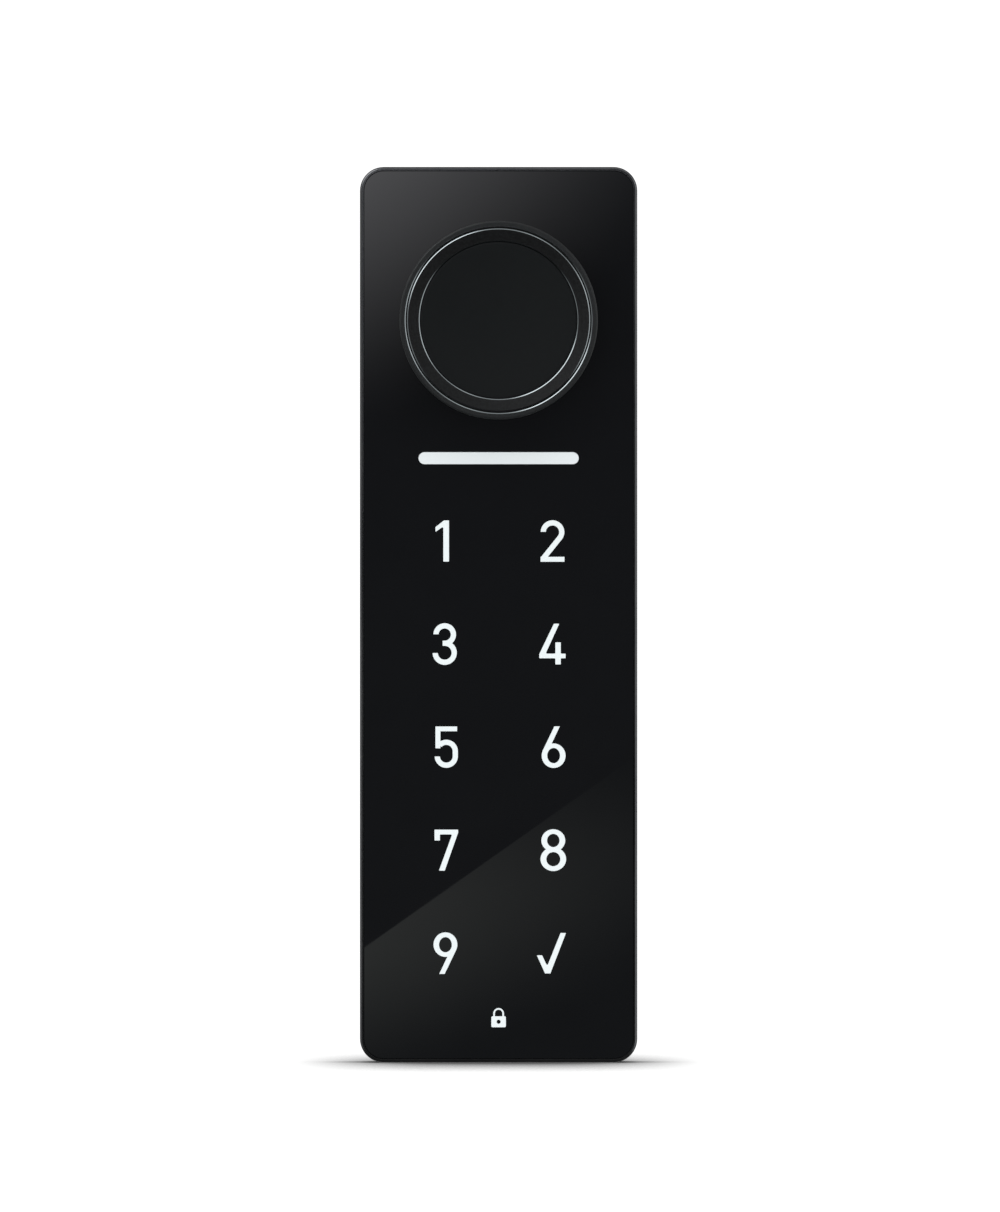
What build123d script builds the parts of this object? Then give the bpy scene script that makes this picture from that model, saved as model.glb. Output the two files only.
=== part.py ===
"""Outside unit of a keypad smart lock: touch panel, clutch-coupled hand knob and battery cassette.

+Z is up, the unit looks toward -Y, and the door face is the plane Y = 0. The origin is on the
spindle axis. Depths are written as f, the distance in front of the door face, so Y = -f.
"""

from build123d import *
import os

# ---------------------------------------------------------------- driving dimensions (mm)
BODY_WIDTH = 70.0
BODY_TOP = 38.8
BODY_BOTTOM = -187.2
BODY_CORNER = 6.0
BODY_REAR = 0.5
GLASS_FRONT = 22.0
GLASS_BACK = 20.0
DECK_FRONT = 19.7
DECK_BACK = 18.2
WALL = 2.2
LIP = 0.9
RIM_ROUND = 0.7
SEAM = 0.1
BODY_HEIGHT = BODY_TOP - BODY_BOTTOM
BODY_MID = (BODY_TOP + BODY_BOTTOM) / 2

PANEL_WIDTH = BODY_WIDTH - 2 * (LIP + SEAM)
PANEL_HEIGHT = BODY_HEIGHT - 2 * (LIP + SEAM)
PANEL_CORNER = 5.0
PANEL_EDGE = 0.12
KNOB_HOLE_R = 23.8
KNOB_HOLE_EDGE = 1.3

KEY_X = 13.6
KEY_ROWS = (-55.6, -81.6, -107.6, -133.6, -159.6)
STROKE = 1.45
LEGEND_DEPTH = 0.5
LEGEND_CORNER = 0.18
LEGEND_TRIM = 0.07
MARK_Z = -176.0

BAR_Z = -34.7
BAR_LENGTH = 40.4
BAR_WIDTH = 3.0
BAR_GAP = 0.1

WINDOW_X = 26.0
WINDOW_TOP = -31.5
WINDOW_BOTTOM = -172.0
GUIDE_BACK = 18.3
GUIDE_GAP = 0.2
LED_SIZE = 1.6
LED_HEIGHT = 0.8
LED_POCKET = 2.2

BOARD_BACK = 16.6
BOARD_X = 29.5
BOARD_TOP = -31.0
BOARD_BOTTOM = -173.0
BOARD_SCREWS = ((-27.8, -42.0), (27.8, -42.0), (-27.8, -105.0), (27.8, -105.0), (-27.8, -155.0), (27.8, -155.0))

PLATE_THICK = 2.0
PLATE_SCREWS = ((-29.3, 26.0), (29.3, 26.0), (-29.3, -70.0), (29.3, -70.0), (-29.3, -168.0), (29.3, -168.0))
BOSS_R = 3.4
BOSS_FRONT = 16.2
POST_PITCH = 38.0
POST_R = 4.0
POST_BORE_R = 2.1
POST_LENGTH = 10.0

KNOB_R = 25.0
KNOB_SKIRT = 22.6
KNOB_SPIGOT_R = 23.1
KNOB_CAVITY_R = 21.4
KNOB_BACK = 21.0
KNOB_FRONT = 38.0
KNOB_GROOVE_IN = 23.05
KNOB_GROOVE_OUT = 23.4
KNOB_GROOVE_DEPTH = 0.7
KNOB_EDGE = 0.25
KNOB_EDGE_DROP = 0.14
KNOB_ROUND = 0.55
KNOB_BAND_R = 19.9
KNOB_BAND_DROP = 0.6
KNOB_BAND_EDGE = 0.2
KNOB_BAND_EDGE_DROP = 0.12
CAP_R = 19.8
CAP_DISH_R = 19.2
CAP_DISH = 0.35
CAP_FRONT = 37.1
CAP_BACK = 36.2
HUB_R = 13.0
SHAFT_R = 6.97
BUSH_BORE_R = 7.0
BUSH_R = 9.0
BUSH_BACK = 14.7
SLEEVE_R = 12.5
KNOB_SQUARE = 8.0
KNOB_SQUARE_END = 30.0

FLANGE_R = 12.5
FLANGE_BACK = 10.3
FLANGE_FRONT = 13.5
SLOT_COUNT = 24
SLOT_WIDTH = 1.5
TOOTH_COUNT = 4
TOOTH_WIDTH = 1.0
COLLAR_BACK = 3.6
COLLAR_FRONT = 8.1
COLLAR_R = 12.2
GROOVE_R = 10.6
GROOVE_BACK = 5.0
GROOVE_FRONT = 6.7
CLUTCH_TRAVEL = 2.0
HEX_SIZE = 13.6
HEX_GAP = 0.05
SPINDLE_SIZE = 8.0
SPINDLE_REACH = 46.0

PINION_TEETH = 12
PINION_R = 2.4
PINION_F = 11.0
PINION_Z = -26.0
TOOTH_RISE = 0.32
TOOTH_FALL = 0.55
GUIDE_PIN_X = 12.0
GUIDE_PIN_Z = -20.0
GUIDE_PIN_R = 1.0

BAY_X = 23.4
BAY_BACK = 3.2
BAY_FRONT = 14.9
BAY_WALL = 1.2
BAY_TOP = -132.2
BAY_BOTTOM = -184.2
TRAY_X = 23.1
TRAY_BACK = 3.5
TRAY_FRONT = 14.6
TRAY_TOP = -133.6
TRAY_BOTTOM = -183.6
TRAY_WALL = 1.0
TRAY_END = 1.2
CELL_R = 5.25
CELL_PITCH = 11.2
CELL_LENGTH = 43.7
CELL_NUB = 0.8
CELL_F = 8.75
CONTACT = 0.3
HATCH_X = 28.8
HATCH_BACK = 2.9
HATCH_FRONT = 17.6
HATCH_TOP = -185.7
HATCH_GAP = 0.1
HATCH_SCREW_X = 26.3
HATCH_MID = (HATCH_BACK + HATCH_FRONT) / 2

PITCH = 2 * 3.14159265 * PINION_R / PINION_TEETH
TURN = Plane(origin=(0, 0, 0), x_dir=(1, 0, 0), z_dir=(0, 0, -1))


def front(f):
    """Plane parallel to the door at depth f, with local x = X and local y = Z."""
    return Plane.XZ.offset(f)


def key_plane(x, z):
    """Plane of one legend, centred on its key, at the bottom of the legend's pocket."""
    return Plane(origin=(x, -(GLASS_FRONT - LEGEND_DEPTH), z), x_dir=(1, 0, 0), z_dir=(0, -1, 0))


def up(z):
    """Plane seen from above at height z, with local x = X and local y = f."""
    return Plane(origin=(0, 0, z), x_dir=(1, 0, 0), z_dir=(0, 0, -1))


os.makedirs("parts", exist_ok=True)

# ---------------------------------------------------------------- key legends
with BuildSketch(key_plane(-KEY_X, KEY_ROWS[0])) as glyph_1:
    with BuildLine():
        Polyline(
            (1.15, -5.26),
            (1.15, 5.26),
            (-0.2, 5.26),
            (-2.4, 3.55),
            (-2.4, 2.15),
            (-0.42, 3.55),
            (-0.42, -5.26),
            close=True,
        )
    make_face()
    fillet(glyph_1.vertices(), LEGEND_CORNER)

with BuildSketch(key_plane(KEY_X, KEY_ROWS[0])) as glyph_2:
    with BuildLine():
        bowl = CenterArc((0, 2.25), 2.33, 180, -219.3)
        Line(bowl @ 1, (-2.51, -4.6))
    trace(line_width=STROKE)
    with Locations((0, -4.61)):
        Rectangle(6.16, 1.38)

with BuildSketch(key_plane(-KEY_X, KEY_ROWS[1])) as glyph_3:
    with BuildLine():
        CenterArc((0, 2.4), 2.2, 180, -270)
    trace(line_width=STROKE)
    with BuildLine():
        CenterArc((0, -2.2), 2.4, 90, -270)
    trace(line_width=STROKE)
    with Locations((-0.29, 0.2)):
        Rectangle(0.6, STROKE)

with BuildSketch(key_plane(KEY_X, KEY_ROWS[1])) as glyph_4:
    with BuildLine():
        Polyline(
            (0.3, 5.2),
            (1.8, 5.2),
            (-1.64, -2.35),
            (0.65, -2.35),
            (0.65, 0.5),
            (2.15, 0.5),
            (2.15, -2.35),
            (3.36, -2.35),
            (3.36, -3.65),
            (2.15, -3.65),
            (2.15, -5.2),
            (0.65, -5.2),
            (0.65, -3.65),
            (-3.4, -3.65),
            (-3.4, -2.5),
            close=True,
        )
    make_face()
    fillet(glyph_4.vertices(), LEGEND_CORNER)

with BuildSketch(key_plane(-KEY_X, KEY_ROWS[2])) as glyph_5:
    with BuildLine():
        upper = CenterArc((0.4, -1.05), 2.27, 140, -140)
        Line(upper @ 1, (2.67, -2.3))
        CenterArc((0.4, -2.3), 2.27, 0, -180)
    trace(line_width=STROKE)
    with Locations((0.4, 4.6)):
        Rectangle(5.6, 1.34)
    with Locations((-1.71, 2.45)):
        Rectangle(1.38, 5.64)

with BuildSketch(key_plane(KEY_X + 0.28, KEY_ROWS[2])) as glyph_6:
    with Locations((0, -2.17)):
        Ellipse(3.01, 3.09)
    with BuildLine():
        Polyline((0.19, 5.23), (1.56, 5.23), (-1.23, -0.65), (-2.72, -0.82), close=True)
    make_face()
    with Locations((0, -2.14)):
        Ellipse(1.61, 1.92, mode=Mode.SUBTRACT)

with BuildSketch(key_plane(-KEY_X, KEY_ROWS[3])) as glyph_7:
    with BuildLine():
        Polyline(
            (-2.64, 5.24),
            (3.45, 5.24),
            (3.45, 4.4),
            (0.05, -5.24),
            (-1.55, -5.24),
            (1.78, 3.9),
            (-1.14, 3.9),
            (-1.14, 2.37),
            (-2.64, 2.37),
            close=True,
        )
    make_face()
    fillet(glyph_7.vertices(), LEGEND_CORNER)

with BuildSketch(key_plane(KEY_X + 0.2, KEY_ROWS[3])) as glyph_8:
    with Locations((0, 2.44)):
        Ellipse(3.01, 2.83)
    with Locations((0, -2.27)):
        Ellipse(3.23, 3.0)
    with Locations((0, 2.44)):
        Ellipse(1.57, 1.67, mode=Mode.SUBTRACT)
    with Locations((0, -2.27)):
        Ellipse(1.76, 1.79, mode=Mode.SUBTRACT)

with BuildSketch(key_plane(-KEY_X + 0.18, KEY_ROWS[4])) as glyph_9:
    with Locations((0, 2.17)):
        Ellipse(3.01, 3.09)
    with BuildLine():
        Polyline((-0.19, -5.23), (-1.56, -5.23), (1.23, 0.65), (2.72, 0.82), close=True)
    make_face()
    with Locations((0, 2.14)):
        Ellipse(1.61, 1.92, mode=Mode.SUBTRACT)

with BuildSketch(key_plane(KEY_X, KEY_ROWS[4])) as glyph_check:
    with BuildLine():
        Polyline(
            (-4.06, -0.46),
            (-2.6, -0.46),
            (-1.33, -3.1),
            (1.98, 5.17),
            (3.5, 5.17),
            (-0.5, -5.17),
            (-1.93, -5.17),
            close=True,
        )
    make_face()
    fillet(glyph_check.vertices(), LEGEND_CORNER)

with BuildSketch(key_plane(0, MARK_Z)) as glyph_lock:
    with Locations((0, -0.9)):
        RectangleRounded(3.8, 2.9, 0.4)
    with BuildLine():
        Line((-1.15, 0.4), (-1.15, 1.2))
        CenterArc((0, 1.2), 1.15, 180, -180)
        Line((1.15, 1.2), (1.15, 0.4))
    trace(line_width=0.55)
    with Locations((0, -0.9)):
        Circle(0.45, mode=Mode.SUBTRACT)

glyphs = {
    "legend_1": glyph_1,
    "legend_2": glyph_2,
    "legend_3": glyph_3,
    "legend_4": glyph_4,
    "legend_5": glyph_5,
    "legend_6": glyph_6,
    "legend_7": glyph_7,
    "legend_8": glyph_8,
    "legend_9": glyph_9,
    "legend_check": glyph_check,
    "lock_mark": glyph_lock,
}
legends = []
for legend_name, glyph in glyphs.items():
    with BuildPart() as legend:
        if legend_name in ("legend_6", "legend_8", "legend_9"):
            extrude(glyph.sketch, amount=LEGEND_DEPTH)
        else:
            extrude(offset(glyph.sketch, amount=-LEGEND_TRIM, mode=Mode.PRIVATE), amount=LEGEND_DEPTH)
    legend.part.label = legend_name
    export_step(legend.part, f"parts/{legend_name}.step")
    legends.append(legend.part)

# ---------------------------------------------------------------- front: glass, tape, light bar
with BuildPart() as touch_panel:
    with BuildSketch(front(GLASS_BACK)) as panel_outline:
        with Locations((0, BODY_MID)):
            RectangleRounded(PANEL_WIDTH, PANEL_HEIGHT, PANEL_CORNER)
    extrude(amount=GLASS_FRONT - GLASS_BACK)
    chamfer(touch_panel.faces().sort_by(Axis.Y)[0].edges(), PANEL_EDGE)
    with BuildSketch(front(GLASS_BACK)) as panel_openings:
        Circle(KNOB_HOLE_R)
        with Locations((0, BAR_Z)):
            SlotOverall(BAR_LENGTH + 2 * BAR_GAP, BAR_WIDTH + 2 * BAR_GAP)
    extrude(amount=GLASS_FRONT - GLASS_BACK, mode=Mode.SUBTRACT)
    hole_rim = touch_panel.edges().filter_by(GeomType.CIRCLE)
    hole_rim = hole_rim.filter_by(lambda edge: abs(edge.radius - KNOB_HOLE_R) < 0.01)
    fillet(hole_rim.sort_by(Axis.Y)[0], KNOB_HOLE_EDGE)
    for legend_part in legends:
        add(legend_part, mode=Mode.SUBTRACT)
touch_panel.part.label = "touch_panel"
export_step(touch_panel.part, "parts/touch_panel.step")

with BuildPart() as panel_tape:
    with BuildSketch(front(DECK_FRONT)):
        with Locations((0, BODY_MID)):
            RectangleRounded(PANEL_WIDTH - 0.4, PANEL_HEIGHT - 0.4, PANEL_CORNER - 0.2)
            RectangleRounded(60.6, 216.6, 2.0, mode=Mode.SUBTRACT)
    extrude(amount=GLASS_BACK - DECK_FRONT)
    with BuildSketch(front(DECK_FRONT)):
        Circle(27.5)
        Circle(24.5, mode=Mode.SUBTRACT)
    extrude(amount=GLASS_BACK - DECK_FRONT)
panel_tape.part.label = "panel_tape"
export_step(panel_tape.part, "parts/panel_tape.step")

with BuildPart() as touch_film:
    with BuildSketch(front(DECK_FRONT)):
        with Locations((0, -109.0)):
            RectangleRounded(58.0, 138.0, 1.5)
    extrude(amount=GLASS_BACK - DECK_FRONT)
touch_film.part.label = "touch_film"
export_step(touch_film.part, "parts/touch_film.step")

with BuildPart() as status_light_bar:
    with BuildSketch(front(DECK_FRONT)):
        with Locations((0, BAR_Z)):
            SlotOverall(44.0, 5.8)
    extrude(amount=GLASS_BACK - DECK_FRONT)
    with BuildSketch(front(GLASS_BACK)):
        with Locations((0, BAR_Z)):
            SlotOverall(BAR_LENGTH, BAR_WIDTH)
    extrude(amount=GLASS_FRONT - GLASS_BACK)
status_light_bar.part.label = "status_light_bar"
export_step(status_light_bar.part, "parts/status_light_bar.step")

# ---------------------------------------------------------------- lighting and electronics
led_spots = [(side * KEY_X, row) for row in KEY_ROWS for side in (-1, 1)]
led_spots += [(step * 8.5, BAR_Z) for step in range(-2, 3)]

with BuildPart() as light_guide:
    with BuildSketch(front(GUIDE_BACK)):
        with Locations((0, (WINDOW_TOP + WINDOW_BOTTOM) / 2)):
            RectangleRounded(2 * (WINDOW_X - GUIDE_GAP), WINDOW_TOP - WINDOW_BOTTOM - 2 * GUIDE_GAP, 1.8)
    extrude(amount=DECK_FRONT - GUIDE_BACK)
    with BuildSketch(front(GUIDE_BACK)):
        with Locations(led_spots):
            Rectangle(LED_POCKET, LED_POCKET)
    extrude(amount=LED_HEIGHT + 0.1, mode=Mode.SUBTRACT)
light_guide.part.label = "light_guide"
export_step(light_guide.part, "parts/light_guide.step")

with BuildPart() as board_leds:
    with BuildSketch(front(DECK_BACK)):
        with Locations(led_spots):
            Rectangle(LED_SIZE, LED_SIZE)
    extrude(amount=LED_HEIGHT)
board_leds.part.label = "board_leds"
export_step(board_leds.part, "parts/board_leds.step")

with BuildPart() as main_board:
    with BuildSketch(front(BOARD_BACK)):
        with Locations((0, (BOARD_TOP + BOARD_BOTTOM) / 2)):
            RectangleRounded(2 * BOARD_X, BOARD_TOP - BOARD_BOTTOM, 2.0)
        with Locations(BOARD_SCREWS):
            Circle(0.85, mode=Mode.SUBTRACT)
    extrude(amount=DECK_BACK - BOARD_BACK)
main_board.part.label = "main_board"
export_step(main_board.part, "parts/main_board.step")

with BuildPart() as board_screws:
    with BuildSketch(front(BOARD_BACK - 0.9)):
        with Locations(BOARD_SCREWS):
            Circle(1.5)
    extrude(amount=0.9)
    with BuildSketch(front(BOARD_BACK)):
        with Locations(BOARD_SCREWS):
            Circle(0.75)
    extrude(amount=2.7)
    with BuildSketch(front(BOARD_BACK - 0.9)):
        with Locations(BOARD_SCREWS):
            Rectangle(1.6, 0.35)
            Rectangle(0.35, 1.6)
    extrude(amount=0.4, mode=Mode.SUBTRACT)
board_screws.part.label = "board_screws"
export_step(board_screws.part, "parts/board_screws.step")

with BuildPart() as board_chips:
    with BuildSketch(front(BOARD_BACK - 1.2)):
        with Locations((-9.0, -62.0)):
            Rectangle(10.0, 10.0)
        with Locations((9.0, -62.0)):
            Rectangle(7.0, 7.0)
    extrude(amount=1.2)
    with BuildSketch(front(BOARD_BACK - 0.9)):
        with Locations((-9.0, -74.0)):
            Rectangle(5.0, 4.0)
        with Locations((9.0, -52.0)):
            Rectangle(3.0, 3.0)
        with Locations((9.0, -73.0)):
            with GridLocations(2.6, 2.2, 4, 2):
                Rectangle(1.6, 0.8)
        with Locations((-9.0, -52.0)):
            with GridLocations(2.6, 2.2, 4, 2):
                Rectangle(1.6, 0.8)
    extrude(amount=0.9)
board_chips.part.label = "board_chips"
export_step(board_chips.part, "parts/board_chips.step")

with BuildPart() as radio_module:
    with BuildSketch(front(BOARD_BACK - 0.8)):
        with Locations((0, -110.0)):
            Rectangle(15.0, 21.0)
    extrude(amount=0.8)
    with BuildSketch(front(BOARD_BACK - 2.6)):
        with Locations((0, -112.5)):
            RectangleRounded(13.4, 14.4, 0.8)
    extrude(amount=1.8)
radio_module.part.label = "radio_module"
export_step(radio_module.part, "parts/radio_module.step")

with BuildPart() as buzzer:
    with BuildSketch(front(BOARD_BACK - 4.2)):
        with Locations((16.0, -90.0)):
            Circle(6.0)
    extrude(amount=4.2)
    chamfer(buzzer.faces().sort_by(Axis.Y)[-1].edges(), 0.5)
    with BuildSketch(front(BOARD_BACK - 4.2)):
        with Locations((16.0, -90.0)):
            Circle(1.0)
    extrude(amount=2.0, mode=Mode.SUBTRACT)
buzzer.part.label = "buzzer"
export_step(buzzer.part, "parts/buzzer.step")

with BuildPart() as storage_capacitor:
    with BuildSketch(front(BOARD_BACK - 9.0)):
        with Locations((-17.0, -90.0)):
            Circle(4.0)
    extrude(amount=9.0)
    fillet(storage_capacitor.faces().sort_by(Axis.Y)[-1].edges(), 0.5)
storage_capacitor.part.label = "storage_capacitor"
export_step(storage_capacitor.part, "parts/storage_capacitor.step")

with BuildPart() as motor_connector:
    with BuildSketch(front(BOARD_BACK - 4.5)):
        with Locations((-16.0, -44.0)):
            Rectangle(7.0, 4.5)
    extrude(amount=4.5)
motor_connector.part.label = "motor_connector"
export_step(motor_connector.part, "parts/motor_connector.step")

# ---------------------------------------------------------------- housing
with BuildPart() as housing:
    with BuildSketch(front(BODY_REAR)):
        with Locations((0, BODY_MID)):
            RectangleRounded(BODY_WIDTH, BODY_HEIGHT, BODY_CORNER)
    extrude(amount=GLASS_FRONT - BODY_REAR)
    fillet(housing.faces().sort_by(Axis.Y)[0].edges(), RIM_ROUND)
    with BuildSketch(front(DECK_FRONT)):
        with Locations((0, BODY_MID)):
            RectangleRounded(BODY_WIDTH - 2 * LIP, BODY_HEIGHT - 2 * LIP, PANEL_CORNER + SEAM)
    extrude(amount=GLASS_FRONT - DECK_FRONT, mode=Mode.SUBTRACT)
    with BuildSketch(front(BODY_REAR)):
        with Locations((0, BODY_MID)):
            RectangleRounded(BODY_WIDTH - 2 * WALL, BODY_HEIGHT - 2 * WALL, BODY_CORNER - WALL)
    extrude(amount=DECK_BACK - BODY_REAR, mode=Mode.SUBTRACT)
    with BuildSketch(front(BUSH_BACK)):
        Circle(SLEEVE_R)
    extrude(amount=DECK_BACK - BUSH_BACK)
    with BuildSketch(front(PLATE_THICK + 0.1)):
        with Locations(PLATE_SCREWS):
            Circle(BOSS_R)
        for post_x, post_z in PLATE_SCREWS:
            wall_x = (BODY_WIDTH / 2 - WALL / 2) * (1 if post_x > 0 else -1)
            with Locations(((post_x + wall_x) / 2, post_z)):
                Rectangle(abs(wall_x - post_x), 2 * BOSS_R)
    extrude(amount=BOSS_FRONT - PLATE_THICK - 0.1)
    with BuildSketch(front(PLATE_THICK + 0.1)):
        with Locations((-28.85, -181.7), (28.85, -181.7)):
            Rectangle(8.1, 7.8)
    extrude(amount=BOSS_FRONT - PLATE_THICK - 0.1)
    with BuildSketch(front(PLATE_THICK + 0.1)):
        with Locations((0, -184.7)):
            Rectangle(60.0, 1.0)
    extrude(amount=BOSS_FRONT - PLATE_THICK + 1.6)
    with BuildSketch(front(BUSH_BACK)):
        Circle(BUSH_R)
        with Locations((0, (WINDOW_TOP + WINDOW_BOTTOM) / 2)):
            RectangleRounded(2 * WINDOW_X, WINDOW_TOP - WINDOW_BOTTOM, 2.0)
    extrude(amount=DECK_FRONT - BUSH_BACK, mode=Mode.SUBTRACT)
    with BuildSketch(front(PLATE_THICK + 0.1)):
        with Locations(PLATE_SCREWS):
            Circle(1.25)
    extrude(amount=10.0, mode=Mode.SUBTRACT)
    with BuildSketch(front(DECK_BACK)):
        with Locations(BOARD_SCREWS):
            Circle(0.75)
    extrude(amount=1.2, mode=Mode.SUBTRACT)
    with BuildSketch(front(BODY_REAR)):
        with Locations((0, BODY_MID)):
            RectangleRounded(BODY_WIDTH - 1.0, BODY_HEIGHT - 1.0, BODY_CORNER - 0.5)
            RectangleRounded(BODY_WIDTH - 3.4, BODY_HEIGHT - 3.4, BODY_CORNER - 1.7, mode=Mode.SUBTRACT)
    extrude(amount=1.0, mode=Mode.SUBTRACT)
    with BuildSketch(up(BODY_BOTTOM + 1.6)):
        with Locations((0, HATCH_MID)):
            RectangleRounded(2 * (HATCH_X + HATCH_GAP), HATCH_FRONT - HATCH_BACK + 2 * HATCH_GAP, 1.6)
    extrude(amount=1.6, mode=Mode.SUBTRACT)
    with BuildSketch(up(BAY_BOTTOM)):
        with Locations((0, (BAY_BACK + BAY_FRONT) / 2)):
            Rectangle(2 * BAY_X, BAY_FRONT - BAY_BACK)
    extrude(amount=3.0, mode=Mode.SUBTRACT)
    with BuildSketch(up(-179.5)):
        with Locations((-HATCH_SCREW_X, HATCH_MID), (HATCH_SCREW_X, HATCH_MID)):
            Circle(1.3)
    extrude(amount=8.0, mode=Mode.SUBTRACT)
housing.part.label = "housing"
export_step(housing.part, "parts/housing.step")

with BuildPart() as door_gasket:
    with BuildSketch(front(0)):
        with Locations((0, BODY_MID)):
            RectangleRounded(BODY_WIDTH - 1.0, BODY_HEIGHT - 1.0, BODY_CORNER - 0.5)
            RectangleRounded(BODY_WIDTH - 3.4, BODY_HEIGHT - 3.4, BODY_CORNER - 1.7, mode=Mode.SUBTRACT)
    extrude(amount=BODY_REAR + 1.0)
door_gasket.part.label = "door_gasket"
export_step(door_gasket.part, "parts/door_gasket.step")

# ---------------------------------------------------------------- back plate and fixings
with BuildPart() as back_plate:
    with BuildSketch(front(0)):
        with Locations((0, BODY_MID)):
            RectangleRounded(BODY_WIDTH - 2 * WALL - 0.4, BODY_HEIGHT - 2 * WALL - 0.4, 3.6)
        Circle(8.3, mode=Mode.SUBTRACT)
        with Locations((0, POST_PITCH / 2), (0, -POST_PITCH / 2)):
            Circle(POST_R, mode=Mode.SUBTRACT)
        with Locations(PLATE_SCREWS):
            Circle(1.6, mode=Mode.SUBTRACT)
    extrude(amount=PLATE_THICK)
    sinks = back_plate.faces().sort_by(Axis.Y)[-1].edges().filter_by(GeomType.CIRCLE)
    chamfer(sinks.filter_by(lambda edge: abs(edge.radius - 1.6) < 0.01), 1.35)
back_plate.part.label = "back_plate"
export_step(back_plate.part, "parts/back_plate.step")

with BuildPart() as back_plate_screws:
    with BuildSketch(front(0)):
        with Locations(PLATE_SCREWS):
            Circle(2.7)
    extrude(amount=1.5)
    heads = back_plate_screws.edges().filter_by(GeomType.CIRCLE).filter_by_position(Axis.Y, -1.6, -1.4)
    chamfer(heads, 1.3)
    with BuildSketch(front(0)):
        with Locations(PLATE_SCREWS):
            Circle(1.25)
    extrude(amount=10.0)
    with BuildSketch(front(0)):
        with Locations(PLATE_SCREWS):
            Rectangle(2.6, 0.6)
            Rectangle(0.6, 2.6)
    extrude(amount=0.8, mode=Mode.SUBTRACT)
back_plate_screws.part.label = "back_plate_screws"
export_step(back_plate_screws.part, "parts/back_plate_screws.step")

with BuildPart() as fixing_posts:
    with BuildSketch(front(-POST_LENGTH)):
        with Locations((0, POST_PITCH / 2), (0, -POST_PITCH / 2)):
            Circle(POST_R)
    extrude(amount=POST_LENGTH + PLATE_THICK)
    with BuildSketch(front(PLATE_THICK)):
        with Locations((0, POST_PITCH / 2), (0, -POST_PITCH / 2)):
            Circle(5.4)
    extrude(amount=1.2)
    with BuildSketch(front(-POST_LENGTH)):
        with Locations((0, POST_PITCH / 2), (0, -POST_PITCH / 2)):
            Circle(POST_BORE_R)
    extrude(amount=POST_LENGTH + 1.5, mode=Mode.SUBTRACT)
    post_ends = fixing_posts.edges().filter_by(GeomType.CIRCLE).filter_by_position(Axis.Y, 9.9, 10.1)
    chamfer(post_ends, 0.4)
fixing_posts.part.label = "fixing_posts"
export_step(fixing_posts.part, "parts/fixing_posts.step")

# ---------------------------------------------------------------- knob and knob shaft
with BuildPart() as knob_body:
    with BuildSketch(TURN):
        with BuildLine():
            Polyline(
                (0, KNOB_BACK),
                (HUB_R, KNOB_BACK),
                (HUB_R, 35.2),
                (KNOB_CAVITY_R, 35.2),
                (KNOB_CAVITY_R, KNOB_BACK),
                (KNOB_SPIGOT_R, KNOB_BACK),
                (KNOB_SPIGOT_R, KNOB_SKIRT),
                (KNOB_R, KNOB_SKIRT),
                (KNOB_R, KNOB_FRONT),
                (KNOB_GROOVE_OUT + KNOB_EDGE, KNOB_FRONT),
                (KNOB_GROOVE_OUT, KNOB_FRONT - KNOB_EDGE_DROP),
                (KNOB_GROOVE_OUT, KNOB_FRONT - KNOB_GROOVE_DEPTH),
                (KNOB_GROOVE_IN, KNOB_FRONT - KNOB_GROOVE_DEPTH),
                (KNOB_GROOVE_IN, KNOB_FRONT - KNOB_EDGE_DROP),
                (KNOB_GROOVE_IN - KNOB_EDGE, KNOB_FRONT),
                (KNOB_BAND_R + KNOB_BAND_EDGE, KNOB_FRONT - KNOB_BAND_DROP),
                (KNOB_BAND_R, KNOB_FRONT - KNOB_BAND_DROP - KNOB_BAND_EDGE_DROP),
                (KNOB_BAND_R, CAP_BACK),
                (0, CAP_BACK),
                close=True,
            )
        make_face()
    revolve(axis=Axis.Y)
    with BuildSketch(front(KNOB_BACK)):
        Rectangle(KNOB_SQUARE + 0.1, KNOB_SQUARE + 0.1)
    extrude(amount=KNOB_SQUARE_END + 0.2 - KNOB_BACK, mode=Mode.SUBTRACT)
    with BuildSketch(front(KNOB_BACK)):
        Circle(SHAFT_R)
    extrude(amount=1.0, mode=Mode.SUBTRACT)
    with BuildSketch(front(KNOB_SQUARE_END)):
        Circle(2.1)
    extrude(amount=10.0, mode=Mode.SUBTRACT)
    with BuildSketch(front(33.6)):
        Circle(4.2)
    extrude(amount=5.0, mode=Mode.SUBTRACT)
    knob_rim = knob_body.edges().filter_by(GeomType.CIRCLE)
    knob_rim = knob_rim.filter_by(lambda edge: abs(edge.radius - KNOB_R) < 0.01).sort_by(Axis.Y)
    fillet(knob_rim[0], KNOB_ROUND)
    chamfer(knob_rim[-1], 0.3)
knob_body.part.label = "knob_body"
export_step(knob_body.part, "parts/knob_body.step")

with BuildPart() as knob_cap:
    with BuildSketch(front(CAP_BACK)):
        Circle(CAP_R)
    extrude(amount=CAP_FRONT - CAP_BACK)
    chamfer(knob_cap.faces().sort_by(Axis.Y)[0].edges(), 0.15)
    dish_r = (CAP_DISH_R**2 + CAP_DISH**2) / (2 * CAP_DISH)
    with Locations((0, -(CAP_FRONT - CAP_DISH + dish_r), 0)):
        Sphere(dish_r, mode=Mode.SUBTRACT)
knob_cap.part.label = "knob_cap"
export_step(knob_cap.part, "parts/knob_cap.step")

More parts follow.
